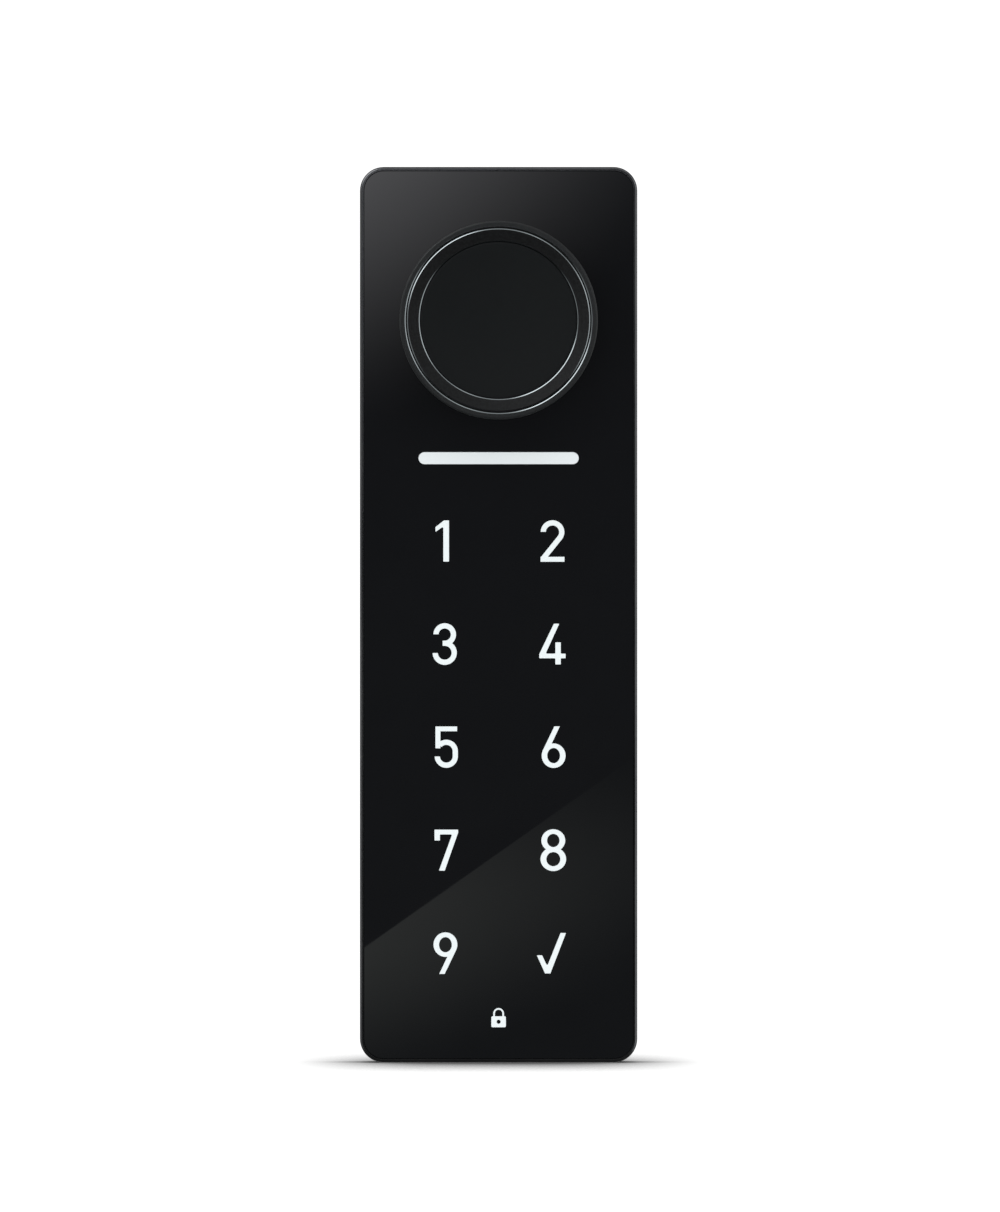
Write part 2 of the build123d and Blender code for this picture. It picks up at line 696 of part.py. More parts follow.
with BuildPart() as knob_screw:
    with BuildSketch(front(33.6)):
        Circle(3.5)
    extrude(amount=2.4)
    fillet(knob_screw.faces().sort_by(Axis.Y)[0].edges(), 0.4)
    with BuildSketch(front(21.5)):
        Circle(1.95)
    extrude(amount=12.1)
    with BuildSketch(front(34.6)):
        RegularPolygon(1.5, 6)
    extrude(amount=2.0, mode=Mode.SUBTRACT)
knob_screw.part.label = "knob_screw"
export_step(knob_screw.part, "parts/knob_screw.step")

with BuildPart() as knob_shaft:
    with BuildSketch(TURN):
        with BuildLine():
            Polyline(
                (0, FLANGE_BACK),
                (FLANGE_R, FLANGE_BACK),
                (FLANGE_R, FLANGE_FRONT),
                (SHAFT_R, FLANGE_FRONT),
                (SHAFT_R, KNOB_BACK + 1.0),
                (0, KNOB_BACK + 1.0),
                close=True,
            )
        make_face()
    revolve(axis=Axis.Y)
    with BuildSketch(front(KNOB_BACK)):
        Rectangle(KNOB_SQUARE, KNOB_SQUARE)
    extrude(amount=KNOB_SQUARE_END - KNOB_BACK)
    with BuildSketch(front(21.5)):
        Circle(1.95)
    extrude(amount=12.0, mode=Mode.SUBTRACT)
    with BuildSketch(front(FLANGE_BACK)):
        Circle(3.0)
    extrude(amount=5.2, mode=Mode.SUBTRACT)
    with BuildSketch(front(FLANGE_BACK)):
        with PolarLocations(10.5, SLOT_COUNT):
            Rectangle(2.6, SLOT_WIDTH)
    extrude(amount=CLUTCH_TRAVEL + 0.1, mode=Mode.SUBTRACT)
knob_shaft.part.label = "knob_shaft"
export_step(knob_shaft.part, "parts/knob_shaft.step")

with BuildPart() as knob_bush:
    with BuildSketch(front(BUSH_BACK - 0.8)):
        Circle(11.0)
    extrude(amount=0.8)
    with BuildSketch(front(BUSH_BACK)):
        Circle(BUSH_R)
    extrude(amount=DECK_FRONT - BUSH_BACK)
    with BuildSketch(front(BUSH_BACK - 0.8)):
        Circle(BUSH_BORE_R)
    extrude(amount=8.0, mode=Mode.SUBTRACT)
knob_bush.part.label = "knob_bush"
export_step(knob_bush.part, "parts/knob_bush.step")

with BuildPart() as thrust_washer:
    with BuildSketch(front(FLANGE_FRONT + 0.1)):
        Circle(11.0)
        Circle(7.2, mode=Mode.SUBTRACT)
    extrude(amount=0.3)
thrust_washer.part.label = "thrust_washer"
export_step(thrust_washer.part, "parts/thrust_washer.step")

with BuildPart() as knob_seal:
    with BuildSketch(front(DECK_FRONT)):
        Circle(9.8)
        Circle(7.4, mode=Mode.SUBTRACT)
    extrude(amount=0.9)
    fillet(knob_seal.faces().sort_by(Axis.Y)[0].edges(), 0.3)
knob_seal.part.label = "knob_seal"
export_step(knob_seal.part, "parts/knob_seal.step")

# ---------------------------------------------------------------- clutch and spindle
with BuildPart() as clutch_collar:
    with BuildSketch(TURN):
        with BuildLine():
            Polyline(
                (5.0, COLLAR_BACK),
                (COLLAR_R, COLLAR_BACK),
                (COLLAR_R, GROOVE_BACK),
                (GROOVE_R, GROOVE_BACK),
                (GROOVE_R, GROOVE_FRONT),
                (COLLAR_R, GROOVE_FRONT),
                (COLLAR_R, COLLAR_FRONT),
                (5.0, COLLAR_FRONT),
                close=True,
            )
        make_face()
    revolve(axis=Axis.Y)
    with BuildSketch(front(COLLAR_FRONT)):
        with PolarLocations(10.5, TOOTH_COUNT):
            Rectangle(2.2, TOOTH_WIDTH)
    extrude(amount=CLUTCH_TRAVEL)
    with BuildSketch(front(COLLAR_BACK)):
        RegularPolygon(HEX_SIZE / 2 + HEX_GAP, 6, major_radius=False)
    extrude(amount=COLLAR_FRONT - COLLAR_BACK, mode=Mode.SUBTRACT)
clutch_collar.part.label = "clutch_collar"
export_step(clutch_collar.part, "parts/clutch_collar.step")

with BuildPart() as spindle_hub:
    with BuildSketch(front(0)):
        Circle(6.8)
    extrude(amount=2.9)
    with BuildSketch(front(2.9)):
        RegularPolygon(HEX_SIZE / 2, 6, major_radius=False)
    extrude(amount=7.0)
    with BuildSketch(front(9.9)):
        Circle(2.95)
    extrude(amount=5.1)
    with BuildSketch(front(0)):
        Rectangle(SPINDLE_SIZE + 0.1, SPINDLE_SIZE + 0.1)
    extrude(amount=9.0, mode=Mode.SUBTRACT)
    with BuildSketch(Plane.XY.offset(3.0)):
        with Locations((0, -5.0)):
            Circle(1.25)
    extrude(amount=5.0, mode=Mode.SUBTRACT)
spindle_hub.part.label = "spindle_hub"
export_step(spindle_hub.part, "parts/spindle_hub.step")

with BuildPart() as spindle:
    with BuildSketch(front(-SPINDLE_REACH)):
        Rectangle(SPINDLE_SIZE, SPINDLE_SIZE)
    extrude(amount=SPINDLE_REACH + 9.0)
    chamfer(spindle.faces().sort_by(Axis.Y)[-1].edges(), 0.8)
spindle.part.label = "spindle"
export_step(spindle.part, "parts/spindle.step")

with BuildPart() as spindle_grub_screw:
    with BuildSketch(Plane.XY.offset(SPINDLE_SIZE / 2)):
        with Locations((0, -5.0)):
            Circle(1.25)
    extrude(amount=2.4)
    with BuildSketch(Plane.XY.offset(SPINDLE_SIZE / 2 + 1.3)):
        with Locations((0, -5.0)):
            RegularPolygon(0.7, 6)
    extrude(amount=1.2, mode=Mode.SUBTRACT)
spindle_grub_screw.part.label = "spindle_grub_screw"
export_step(spindle_grub_screw.part, "parts/spindle_grub_screw.step")

with BuildPart() as spindle_bush:
    with BuildSketch(front(0)):
        Circle(8.3)
    extrude(amount=PLATE_THICK)
    with BuildSketch(front(PLATE_THICK)):
        Circle(10.0)
    extrude(amount=0.8)
    with BuildSketch(front(0)):
        Circle(6.83)
    extrude(amount=PLATE_THICK + 0.8, mode=Mode.SUBTRACT)
spindle_bush.part.label = "spindle_bush"
export_step(spindle_bush.part, "parts/spindle_bush.step")

# ---------------------------------------------------------------- clutch actuator
FORK_BACK = GROOVE_BACK + 0.05
FORK_FRONT = GROOVE_FRONT - 0.05
RACK_LINE = PINION_Z + PINION_R

with BuildPart() as shift_fork:
    with BuildSketch(front(FORK_BACK)):
        Circle(14.6)
        with Locations((0, 11.0)):
            Rectangle(32.0, 20.0, mode=Mode.SUBTRACT)
        with Locations((8.9, -17.4)):
            Rectangle(10.8, 10.8)
        Circle(11.0, mode=Mode.SUBTRACT)
        with Locations((5.6, -24.8)):
            Rectangle(5.0, 3.0, mode=Mode.SUBTRACT)
    extrude(amount=FORK_FRONT - FORK_BACK)
    with BuildSketch(front(FORK_BACK)):
        with Locations((GUIDE_PIN_X, GUIDE_PIN_Z)):
            Circle(2.3)
    extrude(amount=5.5)
    with BuildSketch(Plane.YZ.offset(4.3)):
        with BuildLine():
            Polyline((-FORK_BACK, -21.0), (-FORK_BACK, -23.05), (-16.0, -23.05), (-16.0, -21.0), close=True)
        make_face()
        for step in range(-3, 4):
            with BuildLine():
                Polyline(
                    (-PINION_F - step * PITCH - 0.42, RACK_LINE + TOOTH_FALL),
                    (-PINION_F - step * PITCH - 0.11, RACK_LINE - TOOTH_RISE),
                    (-PINION_F - step * PITCH + 0.11, RACK_LINE - TOOTH_RISE),
                    (-PINION_F - step * PITCH + 0.42, RACK_LINE + TOOTH_FALL),
                    close=True,
                )
            make_face()
    extrude(amount=3.4)
    with BuildSketch(front(FORK_BACK)):
        with Locations((GUIDE_PIN_X, GUIDE_PIN_Z)):
            Circle(GUIDE_PIN_R + 0.05)
    extrude(amount=6.0, mode=Mode.SUBTRACT)
shift_fork.part.label = "shift_fork"
export_step(shift_fork.part, "parts/shift_fork.step")

with BuildPart() as fork_guide_pin:
    with BuildSketch(front(PLATE_THICK)):
        with Locations((GUIDE_PIN_X, GUIDE_PIN_Z)):
            Circle(GUIDE_PIN_R)
    extrude(amount=DECK_BACK - PLATE_THICK)
fork_guide_pin.part.label = "fork_guide_pin"
export_step(fork_guide_pin.part, "parts/fork_guide_pin.step")

PINION_PLANE = Plane(origin=(4.1, -PINION_F, PINION_Z), x_dir=(0, 1, 0), z_dir=(1, 0, 0))

with BuildPart() as motor_pinion:
    with BuildSketch(PINION_PLANE):
        Circle(PINION_R - TOOTH_FALL)
        with PolarLocations(PINION_R - TOOTH_FALL, PINION_TEETH, start_angle=180 / PINION_TEETH + 90):
            with BuildLine():
                Polyline((-0.1, -0.34), (0.87, -0.1), (0.87, 0.1), (-0.1, 0.34), close=True)
            make_face()
    extrude(amount=3.8)
    with BuildSketch(PINION_PLANE.offset(-3.6)):
        Circle(1.0)
    extrude(amount=7.9)
motor_pinion.part.label = "motor_pinion"
export_step(motor_pinion.part, "parts/motor_pinion.step")

GEARBOX_PLANE = Plane(origin=(0, -PINION_F, PINION_Z), x_dir=(0, 1, 0), z_dir=(1, 0, 0))

with BuildPart() as motor_gearbox:
    with BuildSketch(GEARBOX_PLANE.offset(-7.0)):
        RectangleRounded(10.0, 12.0, 0.6)
    extrude(amount=9.0)
    with BuildSketch(GEARBOX_PLANE.offset(0.4)):
        Circle(1.3)
    extrude(amount=2.0, mode=Mode.SUBTRACT)
motor_gearbox.part.label = "motor_gearbox"
export_step(motor_gearbox.part, "parts/motor_gearbox.step")

with BuildPart() as motor_can:
    with BuildSketch(GEARBOX_PLANE.offset(-22.0)):
        Circle(6.0)
        Rectangle(10.0, 12.0, mode=Mode.INTERSECT)
    extrude(amount=15.0)
    with BuildSketch(GEARBOX_PLANE.offset(-22.8)):
        Circle(2.4)
    extrude(amount=0.8)
motor_can.part.label = "motor_can"
export_step(motor_can.part, "parts/motor_can.step")

with BuildPart() as motor_bracket:
    with BuildSketch(front(PLATE_THICK)):
        with Locations((-10.0, -29.2)):
            Rectangle(24.0, 7.4)
    extrude(amount=4.0)
    with BuildSketch(front(PLATE_THICK)):
        with Locations((-10.0, -32.5)):
            Rectangle(24.0, 1.0)
    extrude(amount=12.0)
motor_bracket.part.label = "motor_bracket"
export_step(motor_bracket.part, "parts/motor_bracket.step")

LEAD_PLANE = front(14.2)
with BuildPart() as motor_lead:
    with BuildLine(LEAD_PLANE) as lead_path:
        FilletPolyline((-22.0, -26.0), (-27.5, -26.0), (-27.5, -36.0), (-16.0, -36.0), (-16.0, -41.75), radius=4.0)
    with BuildSketch(Plane(origin=lead_path.line @ 0, z_dir=lead_path.line % 0)):
        Circle(0.7)
    sweep()
motor_lead.part.label = "motor_lead"
export_step(motor_lead.part, "parts/motor_lead.step")

# ---------------------------------------------------------------- battery bay and cassette
with BuildPart() as battery_bay:
    with BuildSketch(up(BAY_TOP + BAY_WALL)):
        with Locations((0, (BAY_BACK + BAY_FRONT) / 2)):
            RectangleRounded(2 * (BAY_X + BAY_WALL), BAY_FRONT - BAY_BACK + 2 * BAY_WALL - 0.2, 1.0)
    extrude(amount=BAY_TOP + BAY_WALL - BAY_BOTTOM)
    with BuildSketch(up(BAY_TOP)):
        with Locations((0, (BAY_BACK + BAY_FRONT) / 2)):
            Rectangle(2 * BAY_X, BAY_FRONT - BAY_BACK)
    extrude(amount=BAY_TOP - BAY_BOTTOM, mode=Mode.SUBTRACT)
    with BuildSketch(up(BAY_TOP + BAY_WALL)):
        with Locations((-1.5 * CELL_PITCH, 8.3), (1.5 * CELL_PITCH, 8.3)):
            Rectangle(3.2, 0.8)
    extrude(amount=BAY_WALL, mode=Mode.SUBTRACT)
battery_bay.part.label = "battery_bay"
export_step(battery_bay.part, "parts/battery_bay.step")

with BuildPart() as battery_terminals:
    with BuildSketch(up(-127.0)):
        with Locations((-1.5 * CELL_PITCH, 8.3), (1.5 * CELL_PITCH, 8.3)):
            Rectangle(3.0, 0.6)
    extrude(amount=6.2)
    with BuildSketch(up(-127.0)):
        with Locations((-1.5 * CELL_PITCH, 12.3), (1.5 * CELL_PITCH, 12.3)):
            Rectangle(3.0, 8.6)
    extrude(amount=0.6)
battery_terminals.part.label = "battery_terminals"
export_step(battery_terminals.part, "parts/battery_terminals.step")

TRAY_MID = (TRAY_BACK + TRAY_FRONT) / 2
CAVITY_FRONT = CELL_F + CELL_R
with BuildPart() as battery_tray:
    with BuildSketch(up(TRAY_TOP)):
        with Locations((0, TRAY_MID)):
            Rectangle(2 * TRAY_X, TRAY_FRONT - TRAY_BACK)
    extrude(amount=TRAY_TOP - TRAY_BOTTOM)
    with BuildSketch(up(TRAY_TOP - TRAY_END)):
        with Locations((0, (TRAY_BACK + CAVITY_FRONT) / 2)):
            Rectangle(2 * (TRAY_X - TRAY_WALL), CAVITY_FRONT - TRAY_BACK)
    extrude(amount=TRAY_TOP - TRAY_BOTTOM - 2 * TRAY_END, mode=Mode.SUBTRACT)
    with BuildSketch(up(TRAY_TOP)):
        with Locations((-1.5 * CELL_PITCH, 8.3), (1.5 * CELL_PITCH, 8.3)):
            Rectangle(2.4, 1.6)
    extrude(amount=TRAY_END, mode=Mode.SUBTRACT)
battery_tray.part.label = "battery_tray"
export_step(battery_tray.part, "parts/battery_tray.step")

CELL_LOW = TRAY_BOTTOM + TRAY_END + CONTACT
CELL_HIGH = TRAY_TOP - TRAY_END - CONTACT
for index in range(4):
    cell_x = (index - 1.5) * CELL_PITCH
    nub_up = index % 2 == 0
    cell_top = CELL_HIGH - CELL_NUB if nub_up else CELL_LOW + CELL_NUB + CELL_LENGTH
    with BuildPart() as battery_cell:
        with BuildSketch(up(cell_top)):
            with Locations((cell_x, CELL_F)):
                Circle(CELL_R)
        extrude(amount=CELL_LENGTH)
        fillet(battery_cell.edges().filter_by(GeomType.CIRCLE), 0.4)
        with BuildSketch(up(cell_top + CELL_NUB if nub_up else cell_top - CELL_LENGTH)):
            with Locations((cell_x, CELL_F)):
                Circle(1.9)
        extrude(amount=CELL_NUB)
    battery_cell.part.label = f"battery_cell_{index + 1}"
    export_step(battery_cell.part, f"parts/battery_cell_{index + 1}.step")

SPRING_GAP = CELL_HIGH - CELL_LOW - CELL_LENGTH - CELL_NUB
with BuildPart() as battery_springs:
    for index in range(4):
        cell_x = (index - 1.5) * CELL_PITCH
        spring_base = CELL_LOW if index % 2 == 0 else CELL_HIGH
        spring_up = 1 if index % 2 == 0 else -1
        for turn, turn_r in enumerate((3.4, 2.9, 2.4, 1.9)):
            turn_z = spring_base + spring_up * (0.3 + turn * (SPRING_GAP - 0.6) / 3)
            with Locations(Plane(origin=(cell_x, -CELL_F, turn_z), z_dir=(0, 0, 1))):
                Torus(turn_r, 0.3)
        with BuildSketch(Plane(origin=(cell_x, -CELL_F, spring_base), z_dir=(0, 0, spring_up))):
            with Locations((2.65, 0)):
                Rectangle(1.9, 0.4)
        extrude(amount=SPRING_GAP - 0.05)
battery_springs.part.label = "battery_springs"
export_step(battery_springs.part, "parts/battery_springs.step")

with BuildPart() as battery_contacts:
    with BuildSketch(up(CELL_LOW)):
        with Locations((-CELL_PITCH, CELL_F), (CELL_PITCH, CELL_F)):
            Rectangle(20.0, 8.4)
    extrude(amount=CONTACT)
    with BuildSketch(up(CELL_HIGH + CONTACT)):
        with Locations((0, CELL_F)):
            Rectangle(20.0, 8.4)
        with Locations((-1.5 * CELL_PITCH, CELL_F), (1.5 * CELL_PITCH, CELL_F)):
            Rectangle(9.0, 8.4)
    extrude(amount=CONTACT)
    with BuildSketch(up(TRAY_TOP + 0.1)):
        with Locations((-1.5 * CELL_PITCH, 8.3), (1.5 * CELL_PITCH, 8.3)):
            Rectangle(2.0, 1.2)
    extrude(amount=TRAY_END + 0.1)
battery_contacts.part.label = "battery_contacts"
export_step(battery_contacts.part, "parts/battery_contacts.step")

with BuildPart() as battery_hatch:
    with BuildSketch(up(HATCH_TOP)):
        with Locations((0, HATCH_MID)):
            RectangleRounded(2 * HATCH_X, HATCH_FRONT - HATCH_BACK, 1.5)
        with Locations((-HATCH_SCREW_X, HATCH_MID), (HATCH_SCREW_X, HATCH_MID)):
            Circle(1.3, mode=Mode.SUBTRACT)
    extrude(amount=HATCH_TOP - BODY_BOTTOM)
    hatch_holes = battery_hatch.faces().sort_by(Axis.Z)[0].edges().filter_by(GeomType.CIRCLE)
    chamfer(hatch_holes.filter_by(lambda edge: abs(edge.radius - 1.3) < 0.01), 0.85)
    with BuildSketch(up(TRAY_BOTTOM)):
        with Locations((0, TRAY_MID)):
            Rectangle(42.0, 7.6)
    extrude(amount=TRAY_BOTTOM - HATCH_TOP)
battery_hatch.part.label = "battery_hatch"
export_step(battery_hatch.part, "parts/battery_hatch.step")

with BuildPart() as hatch_seal:
    with BuildSketch(up(HATCH_TOP + 0.8)):
        with Locations((0, TRAY_MID)):
            Rectangle(46.0, 10.4)
            Rectangle(42.0, 7.6, mode=Mode.SUBTRACT)
    extrude(amount=0.8)
hatch_seal.part.label = "hatch_seal"
export_step(hatch_seal.part, "parts/hatch_seal.step")

with BuildPart() as hatch_screws:
    with BuildSketch(up(BODY_BOTTOM + 0.95)):
        with Locations((-HATCH_SCREW_X, HATCH_MID), (HATCH_SCREW_X, HATCH_MID)):
            Circle(2.0)
    extrude(amount=0.95)
    cones = hatch_screws.edges().filter_by(GeomType.CIRCLE).group_by(Axis.Z)[-1]
    chamfer(cones, 0.8)
    with BuildSketch(up(-180.2)):
        with Locations((-HATCH_SCREW_X, HATCH_MID), (HATCH_SCREW_X, HATCH_MID)):
            Circle(1.2)
    extrude(amount=-180.2 - BODY_BOTTOM)
    with BuildSketch(up(BODY_BOTTOM + 0.6)):
        with Locations((-HATCH_SCREW_X, HATCH_MID), (HATCH_SCREW_X, HATCH_MID)):
            RegularPolygon(0.85, 6)
    extrude(amount=0.6, mode=Mode.SUBTRACT)
hatch_screws.part.label = "hatch_screws"
export_step(hatch_screws.part, "parts/hatch_screws.step")
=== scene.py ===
# %% [markdown]
# # Keypad smart lock, outside unit
# The lock is a slim upright slab. A black glass panel fills its front inside a thin anodised rim,
# a round hand knob stands at the top, and ten white key legends sit below a status light bar.
# The solid pieces come packed in the frame, in metres, so this file gives them their finishes,
# winds the few pieces that are better made here, and sets up a small photo studio.

import math

import bpy
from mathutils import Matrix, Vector


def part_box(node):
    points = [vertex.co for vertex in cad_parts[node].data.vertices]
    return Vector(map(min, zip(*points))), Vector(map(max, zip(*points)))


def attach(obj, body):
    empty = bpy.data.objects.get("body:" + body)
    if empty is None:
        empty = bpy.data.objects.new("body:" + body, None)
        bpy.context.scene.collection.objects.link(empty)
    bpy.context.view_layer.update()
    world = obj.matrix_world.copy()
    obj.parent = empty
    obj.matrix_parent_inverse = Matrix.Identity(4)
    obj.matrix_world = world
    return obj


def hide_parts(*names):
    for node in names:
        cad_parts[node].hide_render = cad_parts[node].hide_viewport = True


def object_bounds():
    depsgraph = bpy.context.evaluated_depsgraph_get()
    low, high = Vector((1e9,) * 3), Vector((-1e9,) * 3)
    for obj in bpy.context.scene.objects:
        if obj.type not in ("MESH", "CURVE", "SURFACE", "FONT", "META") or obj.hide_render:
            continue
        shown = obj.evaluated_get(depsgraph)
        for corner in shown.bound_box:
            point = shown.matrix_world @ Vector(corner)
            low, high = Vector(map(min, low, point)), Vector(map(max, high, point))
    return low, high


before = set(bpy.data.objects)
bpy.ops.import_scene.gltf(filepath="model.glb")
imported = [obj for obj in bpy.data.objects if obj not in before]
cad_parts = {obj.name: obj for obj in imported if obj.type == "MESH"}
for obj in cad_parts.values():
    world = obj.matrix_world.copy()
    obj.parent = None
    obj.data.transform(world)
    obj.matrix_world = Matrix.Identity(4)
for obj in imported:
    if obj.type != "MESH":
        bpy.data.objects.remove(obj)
cad_low, cad_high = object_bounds()

# %% [markdown]
# ## Helpers
# Colours are written as the hex codes a designer would pick, and Cycles wants linear light, so one
# function converts them. Every material is a small network of nodes. One function adds a node with
# its settings, its fixed values and its links, and another starts an empty material.

# %% Colour, node and material helpers
MM = 0.001


def linear(hex_code):
    """A '#rrggbb' colour as linear RGBA."""
    channels = [int(hex_code[i : i + 2], 16) / 255 for i in (1, 3, 5)]
    return [c / 12.92 if c <= 0.04045 else ((c + 0.055) / 1.055) ** 2.4 for c in channels] + [1.0]


def add(tree, kind, settings=None, values=None, links=None):
    """Adds one node to a tree, sets it up and links its inputs."""
    made = tree.nodes.new(kind)
    for name, value in (settings or {}).items():
        setattr(made, name, value)
    for name, value in (values or {}).items():
        made.inputs[name].default_value = value
    for name, source in (links or {}).items():
        tree.links.new(source, made.inputs[name])
    return made


def new_material(name):
    """An empty material, as (material, node tree)."""
    material = bpy.data.materials.new(name)
    material.use_nodes = True
    material.node_tree.nodes.clear()
    return material, material.node_tree


def close_material(tree, shader):
    """Links the finished shader to the material's output."""
    add(tree, "ShaderNodeOutputMaterial", links={"Surface": shader.outputs[0]})


def dress(material, *names):
    """Gives whole CAD nodes one finish."""
    for name in names:
        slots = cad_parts[name].data.materials
        slots.clear()
        slots.append(material)


# %% [markdown]
# ## A general moulded or cast surface
# Most hidden pieces are moulded plastic, rubber, sintered metal or plated steel. They share one
# recipe: two close shades mixed by a noise as coarse as the real grain, a roughness that drifts with
# a second, larger noise, and a shallow bump as deep as the grain. Each call states the grain in
# millimetres, so the numbers can be checked against the real material.

# %% The grained surface recipe
DRIFT_MM = 14


def grained(
    name, dark, light, grain_mm, rough, bump_mm, metallic=0.0, ior=1.5, stretch=(1, 1, 1), shine=0.5
):
    """A surface with a fine grain: shades, roughness range and relief."""
    material, tree = new_material(name)
    place = add(tree, "ShaderNodeTexCoord")
    along = add(
        tree,
        "ShaderNodeMapping",
        values={"Scale": stretch},
        links={"Vector": place.outputs["Object"]},
    )
    grain = add(
        tree,
        "ShaderNodeTexNoise",
        values={"Scale": 1 / (grain_mm * MM), "Detail": 3.0, "Roughness": 0.6},
        links={"Vector": along.outputs["Vector"]},
    )
    drift = add(
        tree,
        "ShaderNodeTexNoise",
        values={"Scale": 1 / (DRIFT_MM * MM), "Detail": 2.0},
        links={"Vector": place.outputs["Object"]},
    )
    shade = add(tree, "ShaderNodeValToRGB", links={"Fac": grain.outputs["Fac"]})
    shade.color_ramp.elements[0].position = 0.3
    shade.color_ramp.elements[0].color = linear(dark)
    shade.color_ramp.elements[1].position = 0.7
    shade.color_ramp.elements[1].color = linear(light)
    roughness = add(
        tree,
        "ShaderNodeMapRange",
        values={"From Min": 0.3, "From Max": 0.7, "To Min": rough[0], "To Max": rough[1]},
        links={"Value": drift.outputs["Fac"]},
    )
    relief = add(
        tree,
        "ShaderNodeBump",
        values={"Strength": 0.6, "Distance": bump_mm * MM},
        links={"Height": grain.outputs["Fac"]},
    )
    shader = add(
        tree,
        "ShaderNodeBsdfPrincipled",
        values={"Metallic": metallic, "IOR": ior, "Specular IOR Level": shine},
        links={
            "Base Color": shade.outputs["Color"],
            "Roughness": roughness.outputs["Result"],
            "Normal": relief.outputs["Normal"],
        },
    )
    close_material(tree, shader)
    return material


# %% [markdown]
# ## Touch glass
# The front is 2 mm tempered glass, painted black on its back, ground and polished on its edges.
# Seen from the front it is nearly black and mirrors the studio sharply. The paint layer is a very
# dark, slightly cool grey under a dielectric with glass's index of 1.5. Handling leaves a film that
# only changes the roughness a little, in patches about as wide as a fingertip.

# %% Black back-painted glass
GLASS_IOR = 1.5
FINGERTIP_MM = 14

glass, tree = new_material("tempered_glass_black_painted")
place = add(tree, "ShaderNodeTexCoord")
smears = add(
    tree,
    "ShaderNodeTexNoise",
    values={"Scale": 1 / (FINGERTIP_MM * MM), "Detail": 4.0, "Roughness": 0.65, "Distortion": 0.6},
    links={"Vector": place.outputs["Object"]},
)
paint = add(tree, "ShaderNodeValToRGB", links={"Fac": smears.outputs["Fac"]})
paint.color_ramp.elements[0].color = linear("#0d0e10")
paint.color_ramp.elements[1].color = linear("#101113")
film = add(
    tree,
    "ShaderNodeMapRange",
    values={"From Min": 0.35, "From Max": 0.7, "To Min": 0.006, "To Max": 0.014},
    links={"Value": smears.outputs["Fac"]},
)
shader = add(
    tree,
    "ShaderNodeBsdfPrincipled",
    values={"IOR": GLASS_IOR},
    links={"Base Color": paint.outputs["Color"], "Roughness": film.outputs["Result"]},
)
close_material(tree, shader)
dress(glass, "touch_panel")
print("touch glass done")

# %% [markdown]
# ## Key legends, light bar and padlock mark
# The legends are a white diffusing resin, filled flush into the panel and polished with it. Resin
# like this carries fine titanium dioxide, so it looks like matt white porcelain under gloss. The
# light bar is opal polycarbonate, a shade greyer because some light passes into it.

# %% White diffusing resin and opal polycarbonate
PIGMENT_MM = 0.35


def white_filling(name, low, high, roughness):
    """White filled resin: cloudy pigment under a polished skin."""
    material, tree = new_material(name)
    place = add(tree, "ShaderNodeTexCoord")
    clouds = add(
        tree,
        "ShaderNodeTexNoise",
        values={"Scale": 1 / (PIGMENT_MM * MM), "Detail": 2.0},
        links={"Vector": place.outputs["Object"]},
    )
    shade = add(tree, "ShaderNodeValToRGB", links={"Fac": clouds.outputs["Fac"]})
    shade.color_ramp.elements[0].color = linear(low)
    shade.color_ramp.elements[1].color = linear(high)
    shader = add(
        tree,
        "ShaderNodeBsdfPrincipled",
        values={"Roughness": roughness, "IOR": 1.5},
        links={"Base Color": shade.outputs["Color"]},
    )
    close_material(tree, shader)
    return material


legend_white = white_filling("white_diffusing_resin", "#e3ecee", "#edf4f5", 0.28)
bar_opal = white_filling("opal_polycarbonate", "#e4ebed", "#ebf1f3", 0.22)
legend_names = [f"legend_{digit}" for digit in range(1, 10)] + ["legend_check", "lock_mark"]
dress(legend_white, *legend_names)
dress(bar_opal, "status_light_bar")
print("legends:", len(legend_names))

# %% [markdown]
# ## Housing
# A die-cast aluminium frame, bead-blasted and anodised black. Beads of about 0.15 mm leave tiny
# dimples, so highlights along the rim are soft but bright. The dimples are drawn wider than real, as
# they would be too fine to show. The housing stays a metal in the shader, with a dark base colour for
# the dyed oxide, which varies a little over patches of 30 mm.

# %% Black anodised aluminium
BEAD_MM = 0.15
BEAD_DRAWN_WIDER = 2.4
DIMPLE_DEPTH_MM = 0.01
DYE_PATCH_MM = 30

anodised, tree = new_material("bead_blasted_black_anodised_aluminium")
place = add(tree, "ShaderNodeTexCoord")
dimples = add(
    tree,
    "ShaderNodeTexVoronoi",
    settings={"feature": "SMOOTH_F1"},
    values={"Scale": 1 / (BEAD_MM * BEAD_DRAWN_WIDER * MM), "Smoothness": 0.6},
    links={"Vector": place.outputs["Object"]},
)
dye = add(
    tree,
    "ShaderNodeTexNoise",
    values={"Scale": 1 / (DYE_PATCH_MM * MM), "Detail": 3.0},
    links={"Vector": place.outputs["Object"]},
)
shade = add(tree, "ShaderNodeValToRGB", links={"Fac": dye.outputs["Fac"]})
shade.color_ramp.elements[0].position = 0.35
shade.color_ramp.elements[0].color = linear("#434446")
shade.color_ramp.elements[1].position = 0.65
shade.color_ramp.elements[1].color = linear("#4a4b4c")
worn = add(
    tree,
    "ShaderNodeMapRange",
    values={"From Min": 0.3, "From Max": 0.7, "To Min": 0.26, "To Max": 0.34},
    links={"Value": dye.outputs["Fac"]},
)
relief = add(
    tree,
    "ShaderNodeBump",
    values={"Strength": 0.25, "Distance": DIMPLE_DEPTH_MM * MM},
    links={"Height": dimples.outputs["Distance"]},
)
shader = add(
    tree,
    "ShaderNodeBsdfPrincipled",
    values={"Metallic": 1.0},
    links={
        "Base Color": shade.outputs["Color"],
        "Roughness": worn.outputs["Result"],
        "Normal": relief.outputs["Normal"],
    },
)
close_material(tree, shader)
dress(anodised, "housing")
